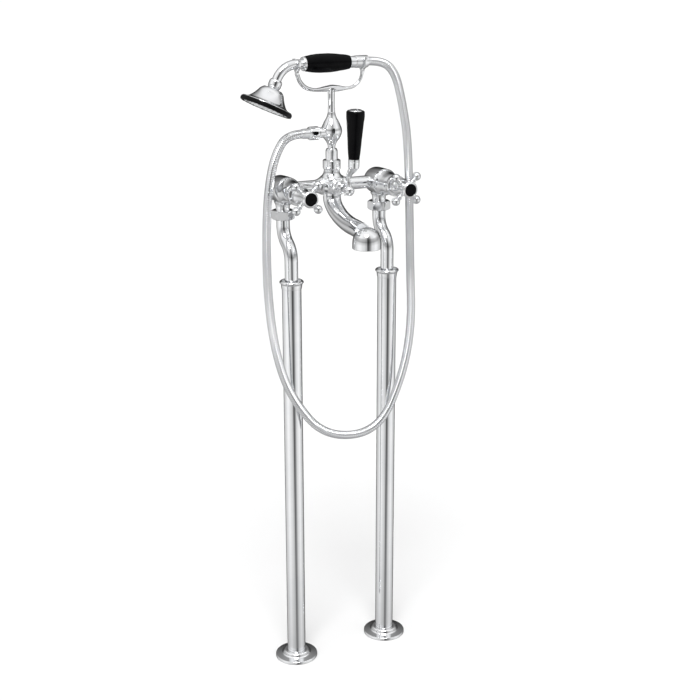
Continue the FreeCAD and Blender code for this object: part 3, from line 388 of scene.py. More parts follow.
def hexagonParts(corners, halfWidth, steps, at):
    # An upright nut: a turned outline of (radius, height) points, cut back to six flats.
    points, faces = [], []
    for radius, height in corners:
        for step in range(steps):
            angle = 2 * math.pi * step / steps
            offFlat = (angle + math.pi / 6) % (math.pi / 3) - math.pi / 6
            reach = min(radius, halfWidth / math.cos(offFlat))
            points.append(Vector((reach * math.cos(angle), reach * math.sin(angle), height)) + at)
    for row in range(len(corners)):
        low = row * steps
        high = (row + 1) % len(corners) * steps
        for step in range(steps):
            after = (step + 1) % steps
            faces.append((low + step, low + after, high + after, high + step))
    return points, faces


def ballEnd(radius, centre, neckAngle, steps=18):
    # Corners round a ball, from the angle of its neck to its tip.
    corners = []
    for step in range(1, steps):
        angle = math.radians(neckAngle + (180 - neckAngle) * step / steps)
        corners.append((radius * math.sin(angle), centre - radius * math.cos(angle)))
    return corners + [(0, centre + radius)]

for side, sign, body in (("hot", -1, "hot_handle"), ("cold", 1, "cold_handle")):
    leg = 90 * sign
    foot = (leg, 0, 0)
    axis = (leg, mixerBack, mixerHeight)

    turnedPiece({
        "name": side + "FloorFlange", "node": side + "_floor_flange", "body": "stand",
        "finish": "chrome", "at": foot, "steps": 96,
        "shapes": [{"corners": [
            (35, 0), (36.8, 0), (37, 0.4), (37, 3.8), (35.8, 5, 1.2), (27, 6), (23.5, 8.6, -4),
            (20, 12.6, 3.8), (16.2, 12.6), (16.2, 10.8), (19.3, 10.8), (21.5, 8), (24.5, 3.9), (35, 3.9)]}],
    })
    turnedPiece({
        "name": side + "Shroud", "node": side + "_shroud", "body": "stand",
        "finish": "chrome", "at": foot, "steps": 96,
        "shapes": [{"corners": [(14.6, 3.5), (16.1, 3.5), (16.1, 684), (14.6, 684)]}],
    })
    turnedPiece({
        "name": side + "ShroudCollar", "node": side + "_shroud_collar", "body": "stand",
        "finish": "chrome", "at": (leg, 0, 680.5), "steps": 96,
        "shapes": [{"corners": [
            (16.2, 0), (16.9, 0.4), (17.6, 7), (18.6, 9.1, -3.5), (18.9, 13.1, 2.2), (17.4, 14, 2),
            (16.3, 13.7), (15.9, 11), (14.6, 8.5), (14.6, 3.5), (16.2, 3.5)]}],
    })
    supplyPipe = {
        "name": side + "SupplyPipe", "node": side + "_supply_pipe", "body": "stand", "finish": "chrome",
        "line": [(leg, 0, 22), (leg, 0, 743.9), (leg, mixerBack, 764.1), (leg, mixerBack, 797.3)],
        "bends": [33, 33], "radius": 11,
        "collar": [(10, 0), (15, 0), (15, 2.5), (10, 2.5)], "collarAt": (leg, mixerBack, 794.8),
    }
    pipeLine = bentPath(supplyPipe["line"], supplyPipe["bends"])
    finishPiece(supplyPipe, [
        sweepParts(pipeLine, circleSection(lambda t: supplyPipe["radius"], 64)),
        latheParts(supplyPipe["collar"], 64, aims["up"], Vector(supplyPipe["collarAt"])),
    ])
    unionNut = {
        "name": side + "UnionNut", "node": side + "_union_nut", "body": "stand", "finish": "chrome",
        "at": (leg, mixerBack, 791.5), "acrossFlats": 34,
        "corners": [
            (11.3, 0), (16.4, 0), (17.4, 0.5), (19.4, 1.6), (20, 2.2), (20, 13.3), (19.4, 13.9), (17.4, 15),
            (16.4, 15.5), (15.3, 15.5), (15.3, 3), (11.3, 3)],
    }
    finishPiece(unionNut, [
        hexagonParts(unionNut["corners"], unionNut["acrossFlats"] / 2, 72, Vector(unionNut["at"]))])

    turnedPiece({
        "name": side + "ValveBody", "node": side + "_valve_body", "body": "stand",
        "finish": "chrome", "at": axis, "steps": 96,
        "shapes": [
            {"aim": "front", "corners": [
                (0, -20), (17.7, -18.6, 110), (20.9, -16, 4.2), (22.1, -10, 24), (22.7, 6), (22.7, 20),
                (20.3, 24), (14.2, 24), (14.2, -10), (0, -10)]},
            {"aim": "up", "at": (leg, mixerBack, 799.1), "corners": [
                (8, 0), (15, 0), (15, 7.9), (11.6, 8.4), (11.5, 12), (12.2, 16, -12), (15, 21, -9),
                (8, 24)]},
            {"aim": "right" if sign < 0 else "left", "corners": [
                (8, 12), (10.6, 12), (10.6, 23), (8, 23)]},
        ],
    })
    turnedPiece({
        "name": side + "BridgeArm", "node": side + "_bridge_arm", "body": "stand",
        "finish": "chrome", "at": (31 * sign, mixerBack, mixerHeight),
        "aim": "right" if sign > 0 else "left",
        "shapes": [{"corners": [(8, 0), (10.6, 0), (10.6, 36), (8, 36)]}],
    })
    turnedPiece({
        "name": side + "Bonnet", "node": side + "_bonnet", "body": "stand",
        "finish": "chrome", "at": (leg, mixerBack - 24, mixerHeight), "aim": "front", "steps": 96,
        "shapes": [{"corners": [
            (14.2, 0), (20.3, 0), (17.9, 10, -40), (17.6, 18), (16.4, 26, 40), (16.4, 29),
            (17.6, 30.4, 1.6), (17.6, 35.6), (16.2, 37, 1.6), (13.2, 38), (13.2, 40), (5.1, 40),
            (5.1, 24), (14.2, 24)]}],
    })

    handle = {
        "name": side + "Handle", "node": side + "_handle", "body": body, "finish": "chrome",
        "at": (leg, mixerBack - handleReach, mixerHeight),
        "hub": [
            (5.1, -25.5), (13.7, -25.5), (15.3, -23.1, 2.4), (15.3, -17.5), (11.6, 0, -38), (10.9, 6),
            (12, 9.4, -3), (12.2, 14.4, 2.8), (11.5, 15), (10.5, 15), (10.5, 13.4), (0, 13.4), (0, -6),
            (5.1, -6)],
        "arm": [
            (0, 7), (4.6, 9.2), (3.4, 12.5, -6), (3.2, 17.2), (4.2, 17.8, 0.7), (4.2, 19.2, 0.7),
            (3.2, 19.7), (3, 20.9)],
        "ball": 7, "ballAt": 27.2,  # radius, and distance out from the handle's axis
        "neckAngle": 25.4,  # degrees from the ball's inner end to where the arm meets it
        "armTurns": (45, 135, 225, 315),
    }
    handleAt = Vector(handle["at"])
    armCorners = handle["arm"] + ballEnd(handle["ball"], handle["ballAt"], handle["neckAngle"])
    handleParts = [latheParts(handle["hub"], 80, aims["front"], handleAt)]
    for turn in handle["armTurns"]:
        outward = aims["front"] @ Matrix.Rotation(math.radians(turn), 4, "Z") @ aims["right"]
        handleParts.append(latheParts(armCorners, 40, outward, handleAt, 0.25))
    finishPiece(handle, handleParts)
    turnedPiece({
        "name": side + "Index", "node": side + "_index", "body": body, "slot": "black_ceramic",
        "finish": "black", "at": (leg, mixerBack - handleReach - 13.4, mixerHeight), "aim": "front",
        "shapes": [{"corners": [(0, 0), (10.3, 0), (10.3, 1.0), (9.8, 1.5), (0, 1.5)]}],
    })
print("legs and valves made")

centre = (0, mixerBack, mixerHeight)
turnedPiece({
    "name": "centreBody", "node": "centre_body", "body": "stand", "finish": "chrome", "at": centre,
    "steps": 96,
    "shapes": [
        {"aim": "right", "corners": [
            (0, -31), (10.6, -31), (14.6, -20, -24), (14.6, 20), (10.6, 31, -24), (0, 31)]},
        {"aim": "up", "corners": [
            (0, -17), (14.6, -17), (15, -16.4), (15, -12), (18.6, 2, 26), (20, 11, 12), (19, 14, 3),
            (13, 23.9, -14), (13, 26.5), (12.2, 27.3), (0, 27.3)]},
        {"aim": "front", "corners": [(0, 0), (15.6, 12), (13.4, 18, -9), (13, 20), (0, 20)]},
    ],
})
turnedPiece({
    "name": "diverterBonnet", "node": "diverter_bonnet", "body": "stand", "finish": "chrome",
    "at": (0, mixerBack - 20, mixerHeight), "aim": "front",
    "shapes": [
        {"corners": [
            (0, 0), (13, 0), (13, 2.6), (11.4, 4.4, 1.8), (9.8, 6), (9.8, 15), (9.1, 17), (9.1, 24),
            (10.2, 25, 1), (10.2, 27.6), (8.8, 29, 1.6), (0, 29)]},
        {"steps": 6, "rounding": 0.1, "corners": [
            (0, 6), (11, 6), (11.8, 6.8), (11.8, 14.2), (11, 15), (0, 15)]},  # the spanner flats
    ],
})
lever = {
    "name": "diverterLever", "node": "diverter_lever", "body": "lever", "finish": "chrome",
    "ball": 8.4, "ballAt": (0, mixerBack - 62.5, mixerHeight),
    # the limb: how far forward of the mixer's middle, height, radius
    "limb": [(62.7, 843.0, 5.3), (60.6, 850.4, 4.8), (59.8, 856.4, 4.6), (60.9, 863.4, 4.5),
             (66.6, 871.4, 5.2), (72.4, 875.9, 6.4), (77.1, 879.1, 7.6)],
}
ball = lever["ball"]
finishPiece(lever, [
    latheParts([(0, -ball), (ball, 0, ball), (0, ball, ball)], 64, aims["front"], Vector(lever["ballAt"])),
    rodParts([(0, mixerBack - forward, height, radius) for forward, height, radius in lever["limb"]]),
])
leverFoot = (0, mixerBack - 77.2, 878.1)
turnedPiece({
    "name": "leverFerrule", "node": "lever_ferrule", "body": "lever", "finish": "chrome",
    "at": leverFoot, "aim": "lever",
    "shapes": [{"corners": [
        (0, 1.2), (7.9, 1.2), (9.1, 2.6, 1.6), (9.1, 12.2), (8.9, 12.5), (9.1, 12.8), (8.7, 16, 4.6),
        (0, 16)]}],
})
turnedPiece({
    "name": "leverGrip", "node": "lever_grip", "body": "lever", "finish": "black", "slot": "black_ceramic",
    "at": leverFoot, "aim": "lever", "steps": 80,
    "shapes": [{"corners": [
        (0, 16), (8.9, 16), (11.4, 46, 400), (14, 77.4), (14.7, 90.4, 60), (12.5, 93.4, 2.8), (0, 93.4)]}],
})
turnedPiece({
    "name": "leverCap", "node": "lever_cap", "body": "lever", "finish": "chrome",
    "at": leverFoot, "aim": "lever", "steps": 80,
    "shapes": [{"corners": [(0, 93.4), (10.8, 93.4), (9.4, 94.7, 1.6), (1, 95.6, 60), (0, 95.6)]}],
})
print("centre and lever made")

spout = {
    "name": "spout", "node": "spout", "body": "stand", "finish": "chrome",
    # how far forward of the mixer's middle, and the height
    "line": [(0, 823.5), (2.6, 813.5), (10.5, 804.5), (23, 796.7), (40, 789.9), (62, 785.1), (86, 783.1),
             (107, 781.6)],
    "radii": [(0, 15), (0.3, 14.4), (0.6, 14), (1, 14)],  # by place along the line, from 0 to 1
    "mouth": [(20.9, 0), (22.8, 0), (23.4, 0.7), (23.4, 9), (22.2, 18, 42), (16, 28.5, 18), (0, 34.5, 24.3),
              (0, 29), (14.9, 27.5), (17.9, 18), (20.9, 15)],
    "mouthAt": (0, mixerBack - spoutReach, 757),
}
spoutLine = curvePath([(0, mixerBack - forward, height) for forward, height in spout["line"]], 12)
finishPiece(spout, [
    sweepParts(spoutLine, circleSection(lambda t: lookUp(spout["radii"], t), 64)),
    latheParts(spout["mouth"], 96, aims["up"], Vector(spout["mouthAt"])),
])
turnedPiece({
    "name": "spoutAerator", "node": "spout_aerator", "body": "stand", "finish": "nylon", "slot": "nylon",
    "at": (0, mixerBack - spoutReach, 764), "steps": 80,
    "shapes": [{"corners": [(0, 0.4), (17.6, 0.4), (18.4, 0), (20.8, 0), (20.8, 8), (0, 8)]}],
})
aeratorJets = {
    "name": "aeratorJets", "body": "stand", "finish": "nylon", "slot": "nylon",
    "rings": ((1, 0), (6, 5.5), (12, 11), (18, 16.5)),  # how many jets, on which radius
    "jet": [(0, 0), (1.2, 0), (1.8, 1.6), (0, 1.6)],
    "at": (0, mixerBack - spoutReach, 762.9),
}
jets = []
for count, circle in aeratorJets["rings"]:
    for number in range(count):
        angle = 2 * math.pi * number / count
        spot = Vector((circle * math.cos(angle), circle * math.sin(angle), 0)) + Vector(aeratorJets["at"])
        jets.append(latheParts(aeratorJets["jet"], 16, aims["up"], spot, 0.1))
finishPiece(aeratorJets, jets)
print("spout made")

turnedPiece({
    "name": "riserSocket", "node": "riser_socket", "body": "stand", "finish": "chrome",
    "at": (0, mixerBack, 867.8), "steps": 80,
    "shapes": [{"corners": [
        (10.1, 0), (14.1, 0), (14.7, 0.6), (14.7, 13.6), (13.5, 14.8, 1.3), (10.1, 14.8)]}],
})
grubScrews = {
    "name": "riserGrubScrews", "node": "riser_grub_screws", "body": "stand", "finish": "chrome",
    "at": (0, mixerBack, 875.2),
    "screw": [(0, 10.2), (2.4, 10.2), (2.4, 14.4), (1.9, 14.75), (1.25, 14.75), (1.1, 12.4), (0, 12.4)],
}
finishPiece(grubScrews, [
    latheParts(grubScrews["screw"], 24, aims["front"] @ Matrix.Rotation(turn, 4, "X"),
               Vector(grubScrews["at"]), 0.1)
    for turn in (0, math.pi)])
turnedPiece({
    "name": "riserStem", "node": "riser_stem", "body": "stand", "finish": "chrome",
    "at": (0, mixerBack, 862), "steps": 72,
    "shapes": [{"corners": [
        (4, 0), (10, 0), (10, 35.3), (8.7, 38.7), (6.1, 39.2), (6.1, 42.8), (5.2, 42.8), (5.2, 49.5),
        (4, 49.5)]}],
})
turnedPiece({
    "name": "riserVase", "node": "riser_vase", "body": "stand", "finish": "chrome",
    "at": (0, mixerBack, 904.8), "steps": 96,
    "shapes": [{"corners": [
        (5.3, 0), (6.3, 0), (6.3, 1.6), (11.4, 10.8, -30), (16.4, 20.4, 22), (15.6, 32.6, 15),
        (9.9, 44, 90), (5.9, 55.5, -34), (0, 55.5), (0, 7), (5.3, 7)]}],
})
turnedPiece({
    "name": "hoseOutlet", "node": "hose_outlet", "body": "stand", "finish": "chrome",
    "at": (-12.8, mixerBack, 928), "aim": "left",
    "shapes": [{"corners": [
        (4.5, 0), (8.5, 0), (8.5, 10), (9.5, 10.5), (9.5, 12.1), (8.2, 12.1), (8.2, 24.9), (4.5, 24.9)]}],
})
turnedPiece({
    "name": "hoseOutletNut", "node": "hose_outlet_nut", "body": "stand", "finish": "chrome",
    "at": (-25, mixerBack, 928), "aim": "left",
    "shapes": [{"corners": [
        (8.3, 0), (9.9, 0), (10.9, 1.2, 1.3), (10.9, 15), (9.5, 16.6, 1.7), (8.2, 17.2), (8.1, 26.8),
        (7.8, 27.2), (7.9, 28.6), (7.3, 29.2, 0.7), (4.5, 29.2), (4.5, 13), (8.3, 13)]}],
})
print("riser made")


def bandParts(inner, outer, half, soft):
    # A strip between two lines of (y, z) points, rounded at its long edges.
    points, faces = [], []
    for a, b in zip(inner, outer):
        rise = b - a
        reach = rise.length
        rise = rise.normalized()
        for sideX, sideRise, start in ((1, 1, 0), (-1, 1, 90), (-1, -1, 180), (1, -1, 270)):
            for turn in (0, 45, 90):
                angle = math.radians(start + turn)
                x = sideX * (half - soft) + soft * math.cos(angle)
                out = reach / 2 + sideRise * (reach / 2 - soft) + soft * math.sin(angle)
                spot = a + rise * out
                points.append(Vector((x, spot.x, spot.y)))
    ring = 12  # points round the strip
    for row in range(len(inner) - 1):
        low, high = row * ring, (row + 1) * ring
        for step in range(ring):
            after = (step + 1) % ring
            faces.append((low + step, low + after, high + after, high + step))
    faces.append(tuple(range(ring - 1, -1, -1)))
    faces.append(tuple((len(inner) - 1) * ring + step for step in range(ring)))
    return points, faces


fork = {
    "play": 0.3,  # between what it holds and its inside
    "reach": 4.1,  # from what it holds to its outside
    "half": 2.3,  # half of its width along X
    "soft": 0.7,
    "foot": [(0, 0), (3, 0), (3.1, 1.5)],  # forward and up from the foot's underside
    "footDepth": 5.7,
    "flare": -8,
    "bowl": (54, 63, 72, 81, 90),  # degrees from straight down
    "sides": (3, 6.6),  # heights above the middle of what it holds
    "tips": ((0.35, 7.6), (1, 8)),  # how far the tips draw in, and their heights
}


def forkParts(centreX, held):
    # A U that holds the handset, on a flared foot. The left half mirrors the right one.
    inside, outside = held + fork["play"], held + fork["reach"]
    underside = -(outside + fork["footDepth"])
    curve = [Vector((forward, underside + rise)) for forward, rise in fork["foot"]]
    bowlStart = Vector((0.7071 * outside, -0.7071 * outside))
    curve += arcPoints(curve[-1], bowlStart, fork["flare"], 8) + [bowlStart]
    for turn in fork["bowl"]:
        angle = math.radians(turn)
        curve.append(Vector((outside * math.sin(angle), -outside * math.cos(angle))))
    right = [(p.normalized() * inside, p) for p in curve]
    right += [(Vector((inside, rise)), Vector((outside, rise))) for rise in fork["sides"]]
    right += [(Vector((inside + draw, rise)), Vector((outside - draw, rise))) for draw, rise in fork["tips"]]
    left = [(Vector((-a.x, a.y)), Vector((-b.x, b.y))) for a, b in reversed(right[1:])]
    pairs = left + right
    points, faces = bandParts([a for a, b in pairs], [b for a, b in pairs], fork["half"], fork["soft"])
    return [p + Vector((centreX, mixerBack, gripHeight)) for p in points], faces


cradle = {
    "name": "cradle", "node": "cradle", "body": "stand", "finish": "chrome",
    "foot": (0, mixerBack, 960.3),
    # the bent rod from left to right: place along X, height above the foot, radius
    "rod": [(-61, 62, 3.4), (-56.6, 51.5, 3.4), (-46.8, 41.6, 3.4), (-30, 36.9, 2.8), (-12, 37.7, 4.5),
            (0, 38.4, 5.6), (12, 37.7, 4.9), (26, 37.2, 2.7), (39.4, 39.2, 2.5), (49.4, 45.6, 2.5),
            (54.8, 53.8, 2.5), (56.6, 62, 2.8)],
    "forks": ((-61.8, 7.5), (57, 10)),  # place along X, radius of what the fork holds
    "stem": [(0, 0), (5.9, 0), (5.4, 14), (5.7, 29.4), (8.5, 36.8, -9), (5, 39), (0, 40)],
}
cradleFoot = cradle["foot"][2]
cradleParts = [rodParts([(x, mixerBack, cradleFoot + rise, radius) for x, rise, radius in cradle["rod"]])]
cradleParts += [forkParts(centreX, held) for centreX, held in cradle["forks"]]
cradleParts.append(latheParts(cradle["stem"], 64, aims["up"], Vector(cradle["foot"])))
finishPiece(cradle, cradleParts)
print("cradle made")

turnedPiece({
    "name": "frontFerrule", "node": "front_ferrule", "body": "handset", "finish": "chrome",
    "at": (-52.4, mixerBack, gripHeight), "aim": "right",
    "shapes": [{"corners": [
        (7.6, 0), (9.6, 0), (11.4, 2, 2.2), (11.4, 3.8), (11, 4.8, 1.6), (6.1, 4.8), (6.1, 3), (7.6, 3)]}],
})
turnedPiece({
    "name": "handsetGrip", "node": "handset_grip", "body": "handset",
    "finish": "black", "slot": "black_ceramic",
    "at": (-47.6, mixerBack, gripHeight), "aim": "right", "steps": 96,
    "shapes": [{"corners": [
        (6.1, 0), (11.3, 0), (12.2, 1.6, 2), (15.2, 34, 150), (13.2, 63, 160), (11.2, 78.2, 90),
        (10.4, 80, 2.4), (6.1, 80)]}],
})
turnedPiece({
    "name": "rearFerrule", "node": "rear_ferrule", "body": "handset", "finish": "chrome",
    "at": (32.4, mixerBack, gripHeight), "aim": "right",
    "shapes": [{"corners": [(6.1, 0), (9.4, 0), (9.4, 9.8), (8.6, 10.6), (6.1, 10.6)]}],
})
turnedPiece({
    "name": "hoseHandsetNut", "node": "hose_handset_nut", "body": "handset", "finish": "chrome",
    "at": (43.1, mixerBack, gripHeight), "aim": "right",
    "shapes": [{"corners": [
        (8.3, 0), (9.2, 0), (10, 0.8), (10, 21.4), (8.4, 23, 1.7), (4.5, 23), (4.5, 12.9), (8.3, 12.9)]}],
})
neck = {
    "name": "handsetNeck", "node": "handset_neck", "body": "handset", "finish": "chrome",
    "start": (-49.4, mixerBack, gripHeight), "corner": (-86.5, mixerBack, gripHeight),
    "reach": 25.6, "bend": 38, "radius": 7.5,
    "toKnuckle": 32.6, "toRose": 70.4,  # from the corner
}
slope = math.radians(roseSlope)
down = Vector((-math.sin(slope), 0, -math.cos(slope)))
corner = Vector(neck["corner"])
neckLine = bentPath([neck["start"], neck["corner"], corner + down * neck["reach"]], [neck["bend"]], 1.2)
finishPiece(neck, [sweepParts(neckLine, circleSection(lambda t: neck["radius"], 56))])
knuckle = corner + down * neck["toKnuckle"]
rose = corner + down * neck["toRose"]
turnedPiece({
    "name": "roseKnuckle", "node": "rose_knuckle", "body": "handset", "finish": "chrome",
    "at": tuple(knuckle), "aim": "rose",
    "shapes": [{"corners": [(5.5, -7), (8.1, -7), (10.5, -2.4, 5), (10.5, 2.4), (8.1, 7, 5), (5.5, 7)]}],
})
turnedPiece({
    "name": "roseShell", "node": "rose_shell", "body": "handset", "finish": "chrome",
    "at": tuple(rose), "aim": "rose", "steps": 120,
    "shapes": [{"corners": [
        (38, 3.1), (41.9, 3.1), (41.1, 4.1, 1.2), (31.8, 7, -20), (21.4, 22, -60), (15, 29.4, 16),
        (9.1, 30.8, -9), (5.5, 30.8), (5.5, 29), (13, 27.4), (19.2, 21), (30, 5.4)]}],
})
turnedPiece({
    "name": "roseRing", "node": "rose_ring", "body": "handset", "finish": "rubber", "slot": "black_rubber",
    "at": tuple(rose), "aim": "rose", "steps": 120,
    "shapes": [{"corners": [
        (37, -3.9), (41.5, -3.9), (43.5, -1.4, 2.6), (43.5, 1), (41.5, 3.1, 2.4), (37, 3.1)]}],
})
turnedPiece({
    "name": "sprayPlate", "node": "spray_plate", "body": "handset",
    "finish": "plate", "slot": "spray_plastic", "at": tuple(rose), "aim": "rose", "steps": 120,
    "shapes": [{"corners": [
        (0, -3), (34, -3.1), (36.9, -3.4), (36.9, 3.1), (35.4, 3.1), (35.4, 0), (0, 0)]}],
})
sprayRings = {
    "rings": ((24, 31.5), (18, 24), (12, 16.5), (6, 9), (1, 0)),  # how many nozzles, on which radius
    "nozzle": [(0, 0), (0.9, 0), (1.6, 1.3), (0, 1.3)],
    "face": -3.8,
    "darkFrom": 30,  # nozzles outside this radius are dark
}
nozzles, innerNozzles = [], []
for count, circle in sprayRings["rings"]:
    for number in range(count):
        angle = 2 * math.pi * number / count
        spot = Vector((circle * math.cos(angle), circle * math.sin(angle), sprayRings["face"]))
        nozzle = latheParts(sprayRings["nozzle"], 16, aims["rose"], aims["rose"] @ spot + rose, 0.1)
        if circle > sprayRings["darkFrom"]:
            nozzles.append(nozzle)
        else:
            innerNozzles.append(nozzle)
finishPiece({"name": "sprayNozzles", "body": "handset", "finish": "nozzle", "slot": "black_rubber"}, nozzles)
finishPiece({"name": "innerSprayNozzles", "body": "handset", "finish": "plate", "slot": "spray_plastic"},
            innerNozzles)
print("handset made")

hose = {
    "radius": 0.0070,  # metres, as are the rib, the groove's depth and the plain ends
    "rib": 0.0037,
    "groove": 0.0009,
    "plainEnd": 0.004,
    "grooveWidth": 0.2,  # half of it, as a share of a rib
    "ringsPerRib": 7,
    "around": 28,
    # from the handset's nut down the right side, under the spout and up to the outlet, in mm
    "points": [
        (66.1, 29.5, 1039.2), (95.1, 29.5, 1039.2), (119, 28.5, 1018.2), (130.5, 26, 973.2), (140, 20, 908),
        (136, 5.5, 797), (121, -25.5, 693), (122, -31.5, 599), (106, -30.5, 509), (58, -31.5, 413),
        (-45, -30.5, 420), (-108, -29.5, 502), (-137, -33.5, 586), (-145, -24.5, 686), (-134, -2, 800),
        (-122, 9, 862), (-104.5, 21, 901.5), (-80.5, 29.5, 928), (-54.2, 29.5, 928)],
}


def smoothLine(corners):
    # Points of a soft curve that is pulled towards the corners.
    curve = bpy.data.curves.new("hoseLine", "CURVE")
    curve.dimensions = "3D"
    spline = curve.splines.new("NURBS")
    spline.points.add(len(corners) - 1)
    for point, (x, y, z) in zip(spline.points, corners):
        point.co = (x * mm, y * mm, z * mm, 1)
    spline.order_u = 3
    spline.use_endpoint_u = True
    spline.resolution_u = 40
    lineObject = bpy.data.objects.new("hoseLine", curve)
    scene.collection.objects.link(lineObject)
    bpy.context.view_layer.update()
    lineMesh = bpy.data.meshes.new_from_object(lineObject)
    found = [spot.co.copy() for spot in lineMesh.vertices]
    bpy.data.objects.remove(lineObject)
    bpy.data.meshes.remove(lineMesh)
    return found


def evenLine(rough, perMetre):
    # The same line with its points at even distances, and its length.
    lengths = [0.0]
    for a, b in zip(rough, rough[1:]):
        lengths.append(lengths[-1] + (b - a).length)
    count = int(lengths[-1] * perMetre)
    even = []
    spot = 0
    for k in range(count + 1):
        want = lengths[-1] * k / count
        while spot < len(lengths) - 2 and lengths[spot + 1] < want:
            spot += 1
        part = (want - lengths[spot]) / max(lengths[spot + 1] - lengths[spot], 1e-9)
        even.append(rough[spot].lerp(rough[spot + 1], min(part, 1)))
    return even, lengths[-1]


def ribbedTube(line, length, sizes):
    # A tube with a groove that winds round it once for each rib, and a plain stretch at both ends.
    points, faces = [], []
    count = len(line) - 1
    around = sizes["around"]
    for k, (here, (side, up)) in enumerate(zip(line, frames(line))):
        distance = length * k / count
        plain = min(distance, length - distance) < sizes["plainEnd"]
        for step in range(around):
            angle = 2 * math.pi * step / around
            wave = (distance / sizes["rib"] - step / around) % 1.0
            dip = max(0.0, 1 - abs(wave - 0.5) / sizes["grooveWidth"])
            radius = sizes["radius"] - (0 if plain else sizes["groove"] * dip * dip * (3 - 2 * dip))
            points.append(here + side * (radius * math.cos(angle)) + up * (radius * math.sin(angle)))
    for k in range(count):
        low, high = k * around, (k + 1) * around
        for step in range(around):
            after = (step + 1) % around
            faces.append((low + step, low + after, high + after, high + step))
    faces.append(tuple(range(around - 1, -1, -1)))
    faces.append(tuple(count * around + step for step in range(around)))
    return points, faces


hoseLine, hoseLength = evenLine(smoothLine(hose["points"]), hose["ringsPerRib"] / hose["rib"])
points, faces = ribbedTube(hoseLine, hoseLength, hose)
showerHose = addMesh("showerHose", points, faces, "hoseChrome")
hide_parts("shower_hose")
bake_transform(showerHose)
print("hose made, length", round(hoseLength, 3))

# solids that stay as the frame has them, because they are all but hidden, and the finish of each
keptNodes = {
    "brass": ["hot_base_plate", "cold_base_plate", "hot_cartridge", "cold_cartridge", "hot_spindle",
              "cold_spindle", "handset_tail", "handset_tube"],
    "nylon": ["hot_centring_bush", "cold_centring_bush"],
    "fibre": ["hot_union_washer", "cold_union_washer"],
    "chrome": ["diverter_spindle"],
}
for finish, names in keptNodes.items():
    for name in names:
        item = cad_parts[name]
        item.data.materials.clear()
        item.data.materials.append(finishes[finish])
print("hidden pieces finished:", sum(len(names) for names in keptNodes.values()))

studio = {
    "floorReach": 60,  # metres
    "floorDrop": 0.0005,
    "floorGreys": ((0.93, 0.93, 0.93), (0.94, 0.94, 0.94)),
    "backdropReach": 45,
    "backdropFoot": -0.1,
    "backdropPanels": 72,
    "backdropGrey": (0.98, 0.98, 0.98, 1),
}
reach = studio["floorReach"]
floorMesh = bpy.data.meshes.new("studioFloor")
floorMesh.from_pydata([(-reach, -reach, 0), (reach, -reach, 0), (reach, reach, 0), (-reach, reach, 0)], [],
                      [(0, 1, 2, 3)])
floorFinish, floorTree, floorShader, floorPlace = newFinish("paleFloor")
floorColour = blendColours(floorTree, grain(floorTree, floorPlace, 3), *studio["floorGreys"])
floorTree.links.new(floorColour, floorShader.inputs["Base Color"])
floorShader.inputs["Roughness"].default_value = 0.9
floorShader.inputs["Specular IOR Level"].default_value = 0.0
floorMesh.materials.append(floorFinish)
floor = bpy.data.objects.new("studioFloor", floorMesh)
floor.location.z = -studio["floorDrop"]
floor.visible_glossy = False  # the polished parts show the studio's pale and dark walls instead
scene.collection.objects.link(floor)

# a pale ring far behind the floor, which only the camera sees
reach = studio["backdropReach"]
panels = studio["backdropPanels"]
wallSpots = []
for panel in range(panels):
    angle = math.radians(360 / panels * panel)
    for height in (studio["backdropFoot"], reach):
        wallSpots.append((reach * math.cos(angle), reach * math.sin(angle), height))
corners = 2 * panels
wallMesh = bpy.data.meshes.new("paleBackdrop")
wallMesh.from_pydata(wallSpots, [], [(k, (k + 2) % corners, (k + 3) % corners, k + 1)
                                     for k in range(0, corners, 2)])
wallFinish = bpy.data.materials.new("paleBackdrop")
wallFinish.use_nodes = True
wallTree = wallFinish.node_tree
wallTree.nodes.remove(wallTree.nodes["Principled BSDF"])
wallGlow = wallTree.nodes.new("ShaderNodeEmission")
wallGlow.inputs["Color"].default_value = studio["backdropGrey"]
wallTree.links.new(wallGlow.outputs["Emission"], wallTree.nodes["Material Output"].inputs["Surface"])
wallMesh.materials.append(wallFinish)
backdrop = bpy.data.objects.new("paleBackdrop", wallMesh)
backdrop.visible_diffuse = False
backdrop.visible_glossy = False
backdrop.visible_shadow = False
scene.collection.objects.link(backdrop)

world = bpy.data.worlds.new("studioWorld")
scene.world = world
world.use_nodes = True
room = world.node_tree
back = room.nodes["Background"]
towards = room.nodes.new("ShaderNodeTexCoord").outputs["Generated"]


def roomMath(operation, *sources):
    step = room.nodes.new("ShaderNodeMath")
    step.operation = operation
    for socket, source in zip(step.inputs, sources):
        if isinstance(source, (int, float)):
            socket.default_value = source
        else:
            room.links.new(source, socket)
    return step.outputs[0]


def facing(direction):
    # How far a look into the room points in a direction, from -1 to 1.
    dot = room.nodes.new("ShaderNodeVectorMath")
    dot.operation = "DOT_PRODUCT"
    dot.inputs[1].default_value = direction
    room.links.new(towards, dot.inputs[0])
    return dot.outputs["Value"]


def greyRamp(source, low, high, stops):
    # A soft run of greys over a value that goes from low to high.
    span = room.nodes.new("ShaderNodeMapRange")
    span.inputs["From Min"].default_value = low
    span.inputs["From Max"].default_value = high
    room.links.new(source, span.inputs["Value"])
    ramp = room.nodes.new("ShaderNodeValToRGB")
    ramp.color_ramp.interpolation = "EASE"
    band = ramp.color_ramp.elements
    while len(band) < len(stops):
        band.new(0.5)
    for stop, (spot, grey) in zip(band, stops):
        stop.position = (spot - low) / (high - low)
        stop.color = (grey, grey, grey, 1)
    room.links.new(span.outputs["Result"], ramp.inputs["Fac"])
    return ramp.outputs["Color"]


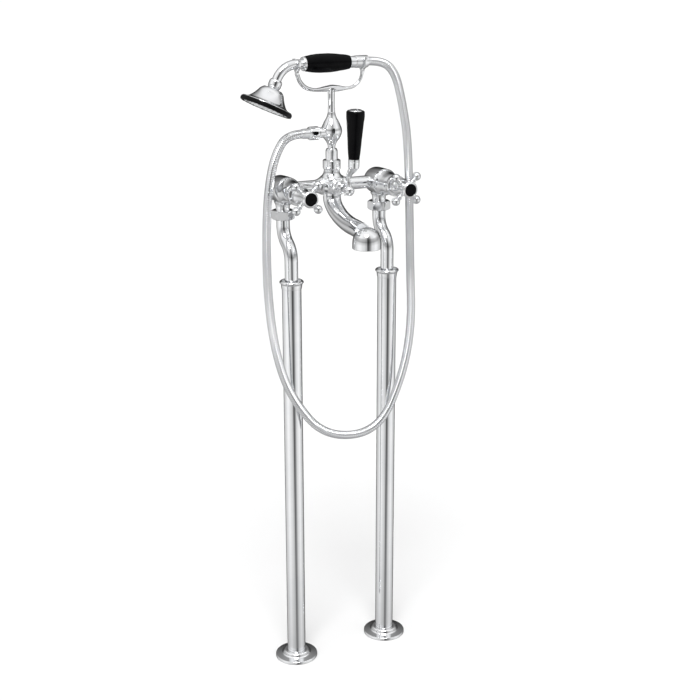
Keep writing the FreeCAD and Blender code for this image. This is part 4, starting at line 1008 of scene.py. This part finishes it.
def mixColours(factor, first, second, kind="MIX"):
    # The factor and the second colour may be given as values or come from another node.
    mix = room.nodes.new("ShaderNodeMix")
    mix.data_type = "RGBA"
    mix.blend_type = kind
    for socket, source in ((mix.inputs["Factor"], factor), (mix.inputs[6], first), (mix.inputs[7], second)):
        if isinstance(source, (int, float, tuple)):
            socket.default_value = source
        else:
            room.links.new(source, socket)
    return mix.outputs[2]


studioLight = {
    "right": (0.8841, -0.4673, 0),  # across the photograph
    "behind": (-0.4673, -0.8841, 0),  # from the object to the camera
    # grey of the walls by degrees round from behind the camera: a thin dark gap, pale walls, darker corners
    "walls": [(-180, 0.03), (-150, 0.10), (-118, 0.62), (-60, 0.95), (-25, 0.74), (-3, 0.50), (7, 0.03),
              (19, 0.16), (45, 0.74), (75, 0.93), (112, 0.62), (144, 0.10), (180, 0.03)],
    # how much of it is left by height, from straight down to straight up
    "levels": [(-1, 0.34), (-0.7, 0.55), (-0.42, 0.95), (-0.2, 1.0), (-0.02, 0.78), (0.1, 0.46),
               (0.24, 0.60), (0.5, 1.0), (1, 1.0)],
    "ends": (0.95, 0.95, 0.95, 1),  # the ceiling and the floor of the room
    "strength": 1.1,
    "sun": 1.5,
    "sunWidth": 28,
    "sunTurn": (28, -18, 0),
}
compass = roomMath("ARCTAN2", facing(studioLight["right"]), facing(studioLight["behind"]))
walls = greyRamp(roomMath("MULTIPLY", compass, 57.2958), -180, 180, studioLight["walls"])
levels = greyRamp(facing((0, 0, 1)), -1, 1, studioLight["levels"])
steepness = roomMath("POWER", roomMath("ABSOLUTE", facing((0, 0, 1))), 3)
wallsAndEnds = mixColours(steepness, walls, studioLight["ends"])
room.links.new(mixColours(1, wallsAndEnds, levels, "MULTIPLY"), back.inputs["Color"])
back.inputs["Strength"].default_value = studioLight["strength"]

sun = bpy.data.lights.new("softKey", "SUN")
sun.energy = studioLight["sun"]
sun.angle = math.radians(studioLight["sunWidth"])
key = bpy.data.objects.new("softKey", sun)
key.rotation_euler = [math.radians(turn) for turn in studioLight["sunTurn"]]
scene.collection.objects.link(key)
print("studio made")
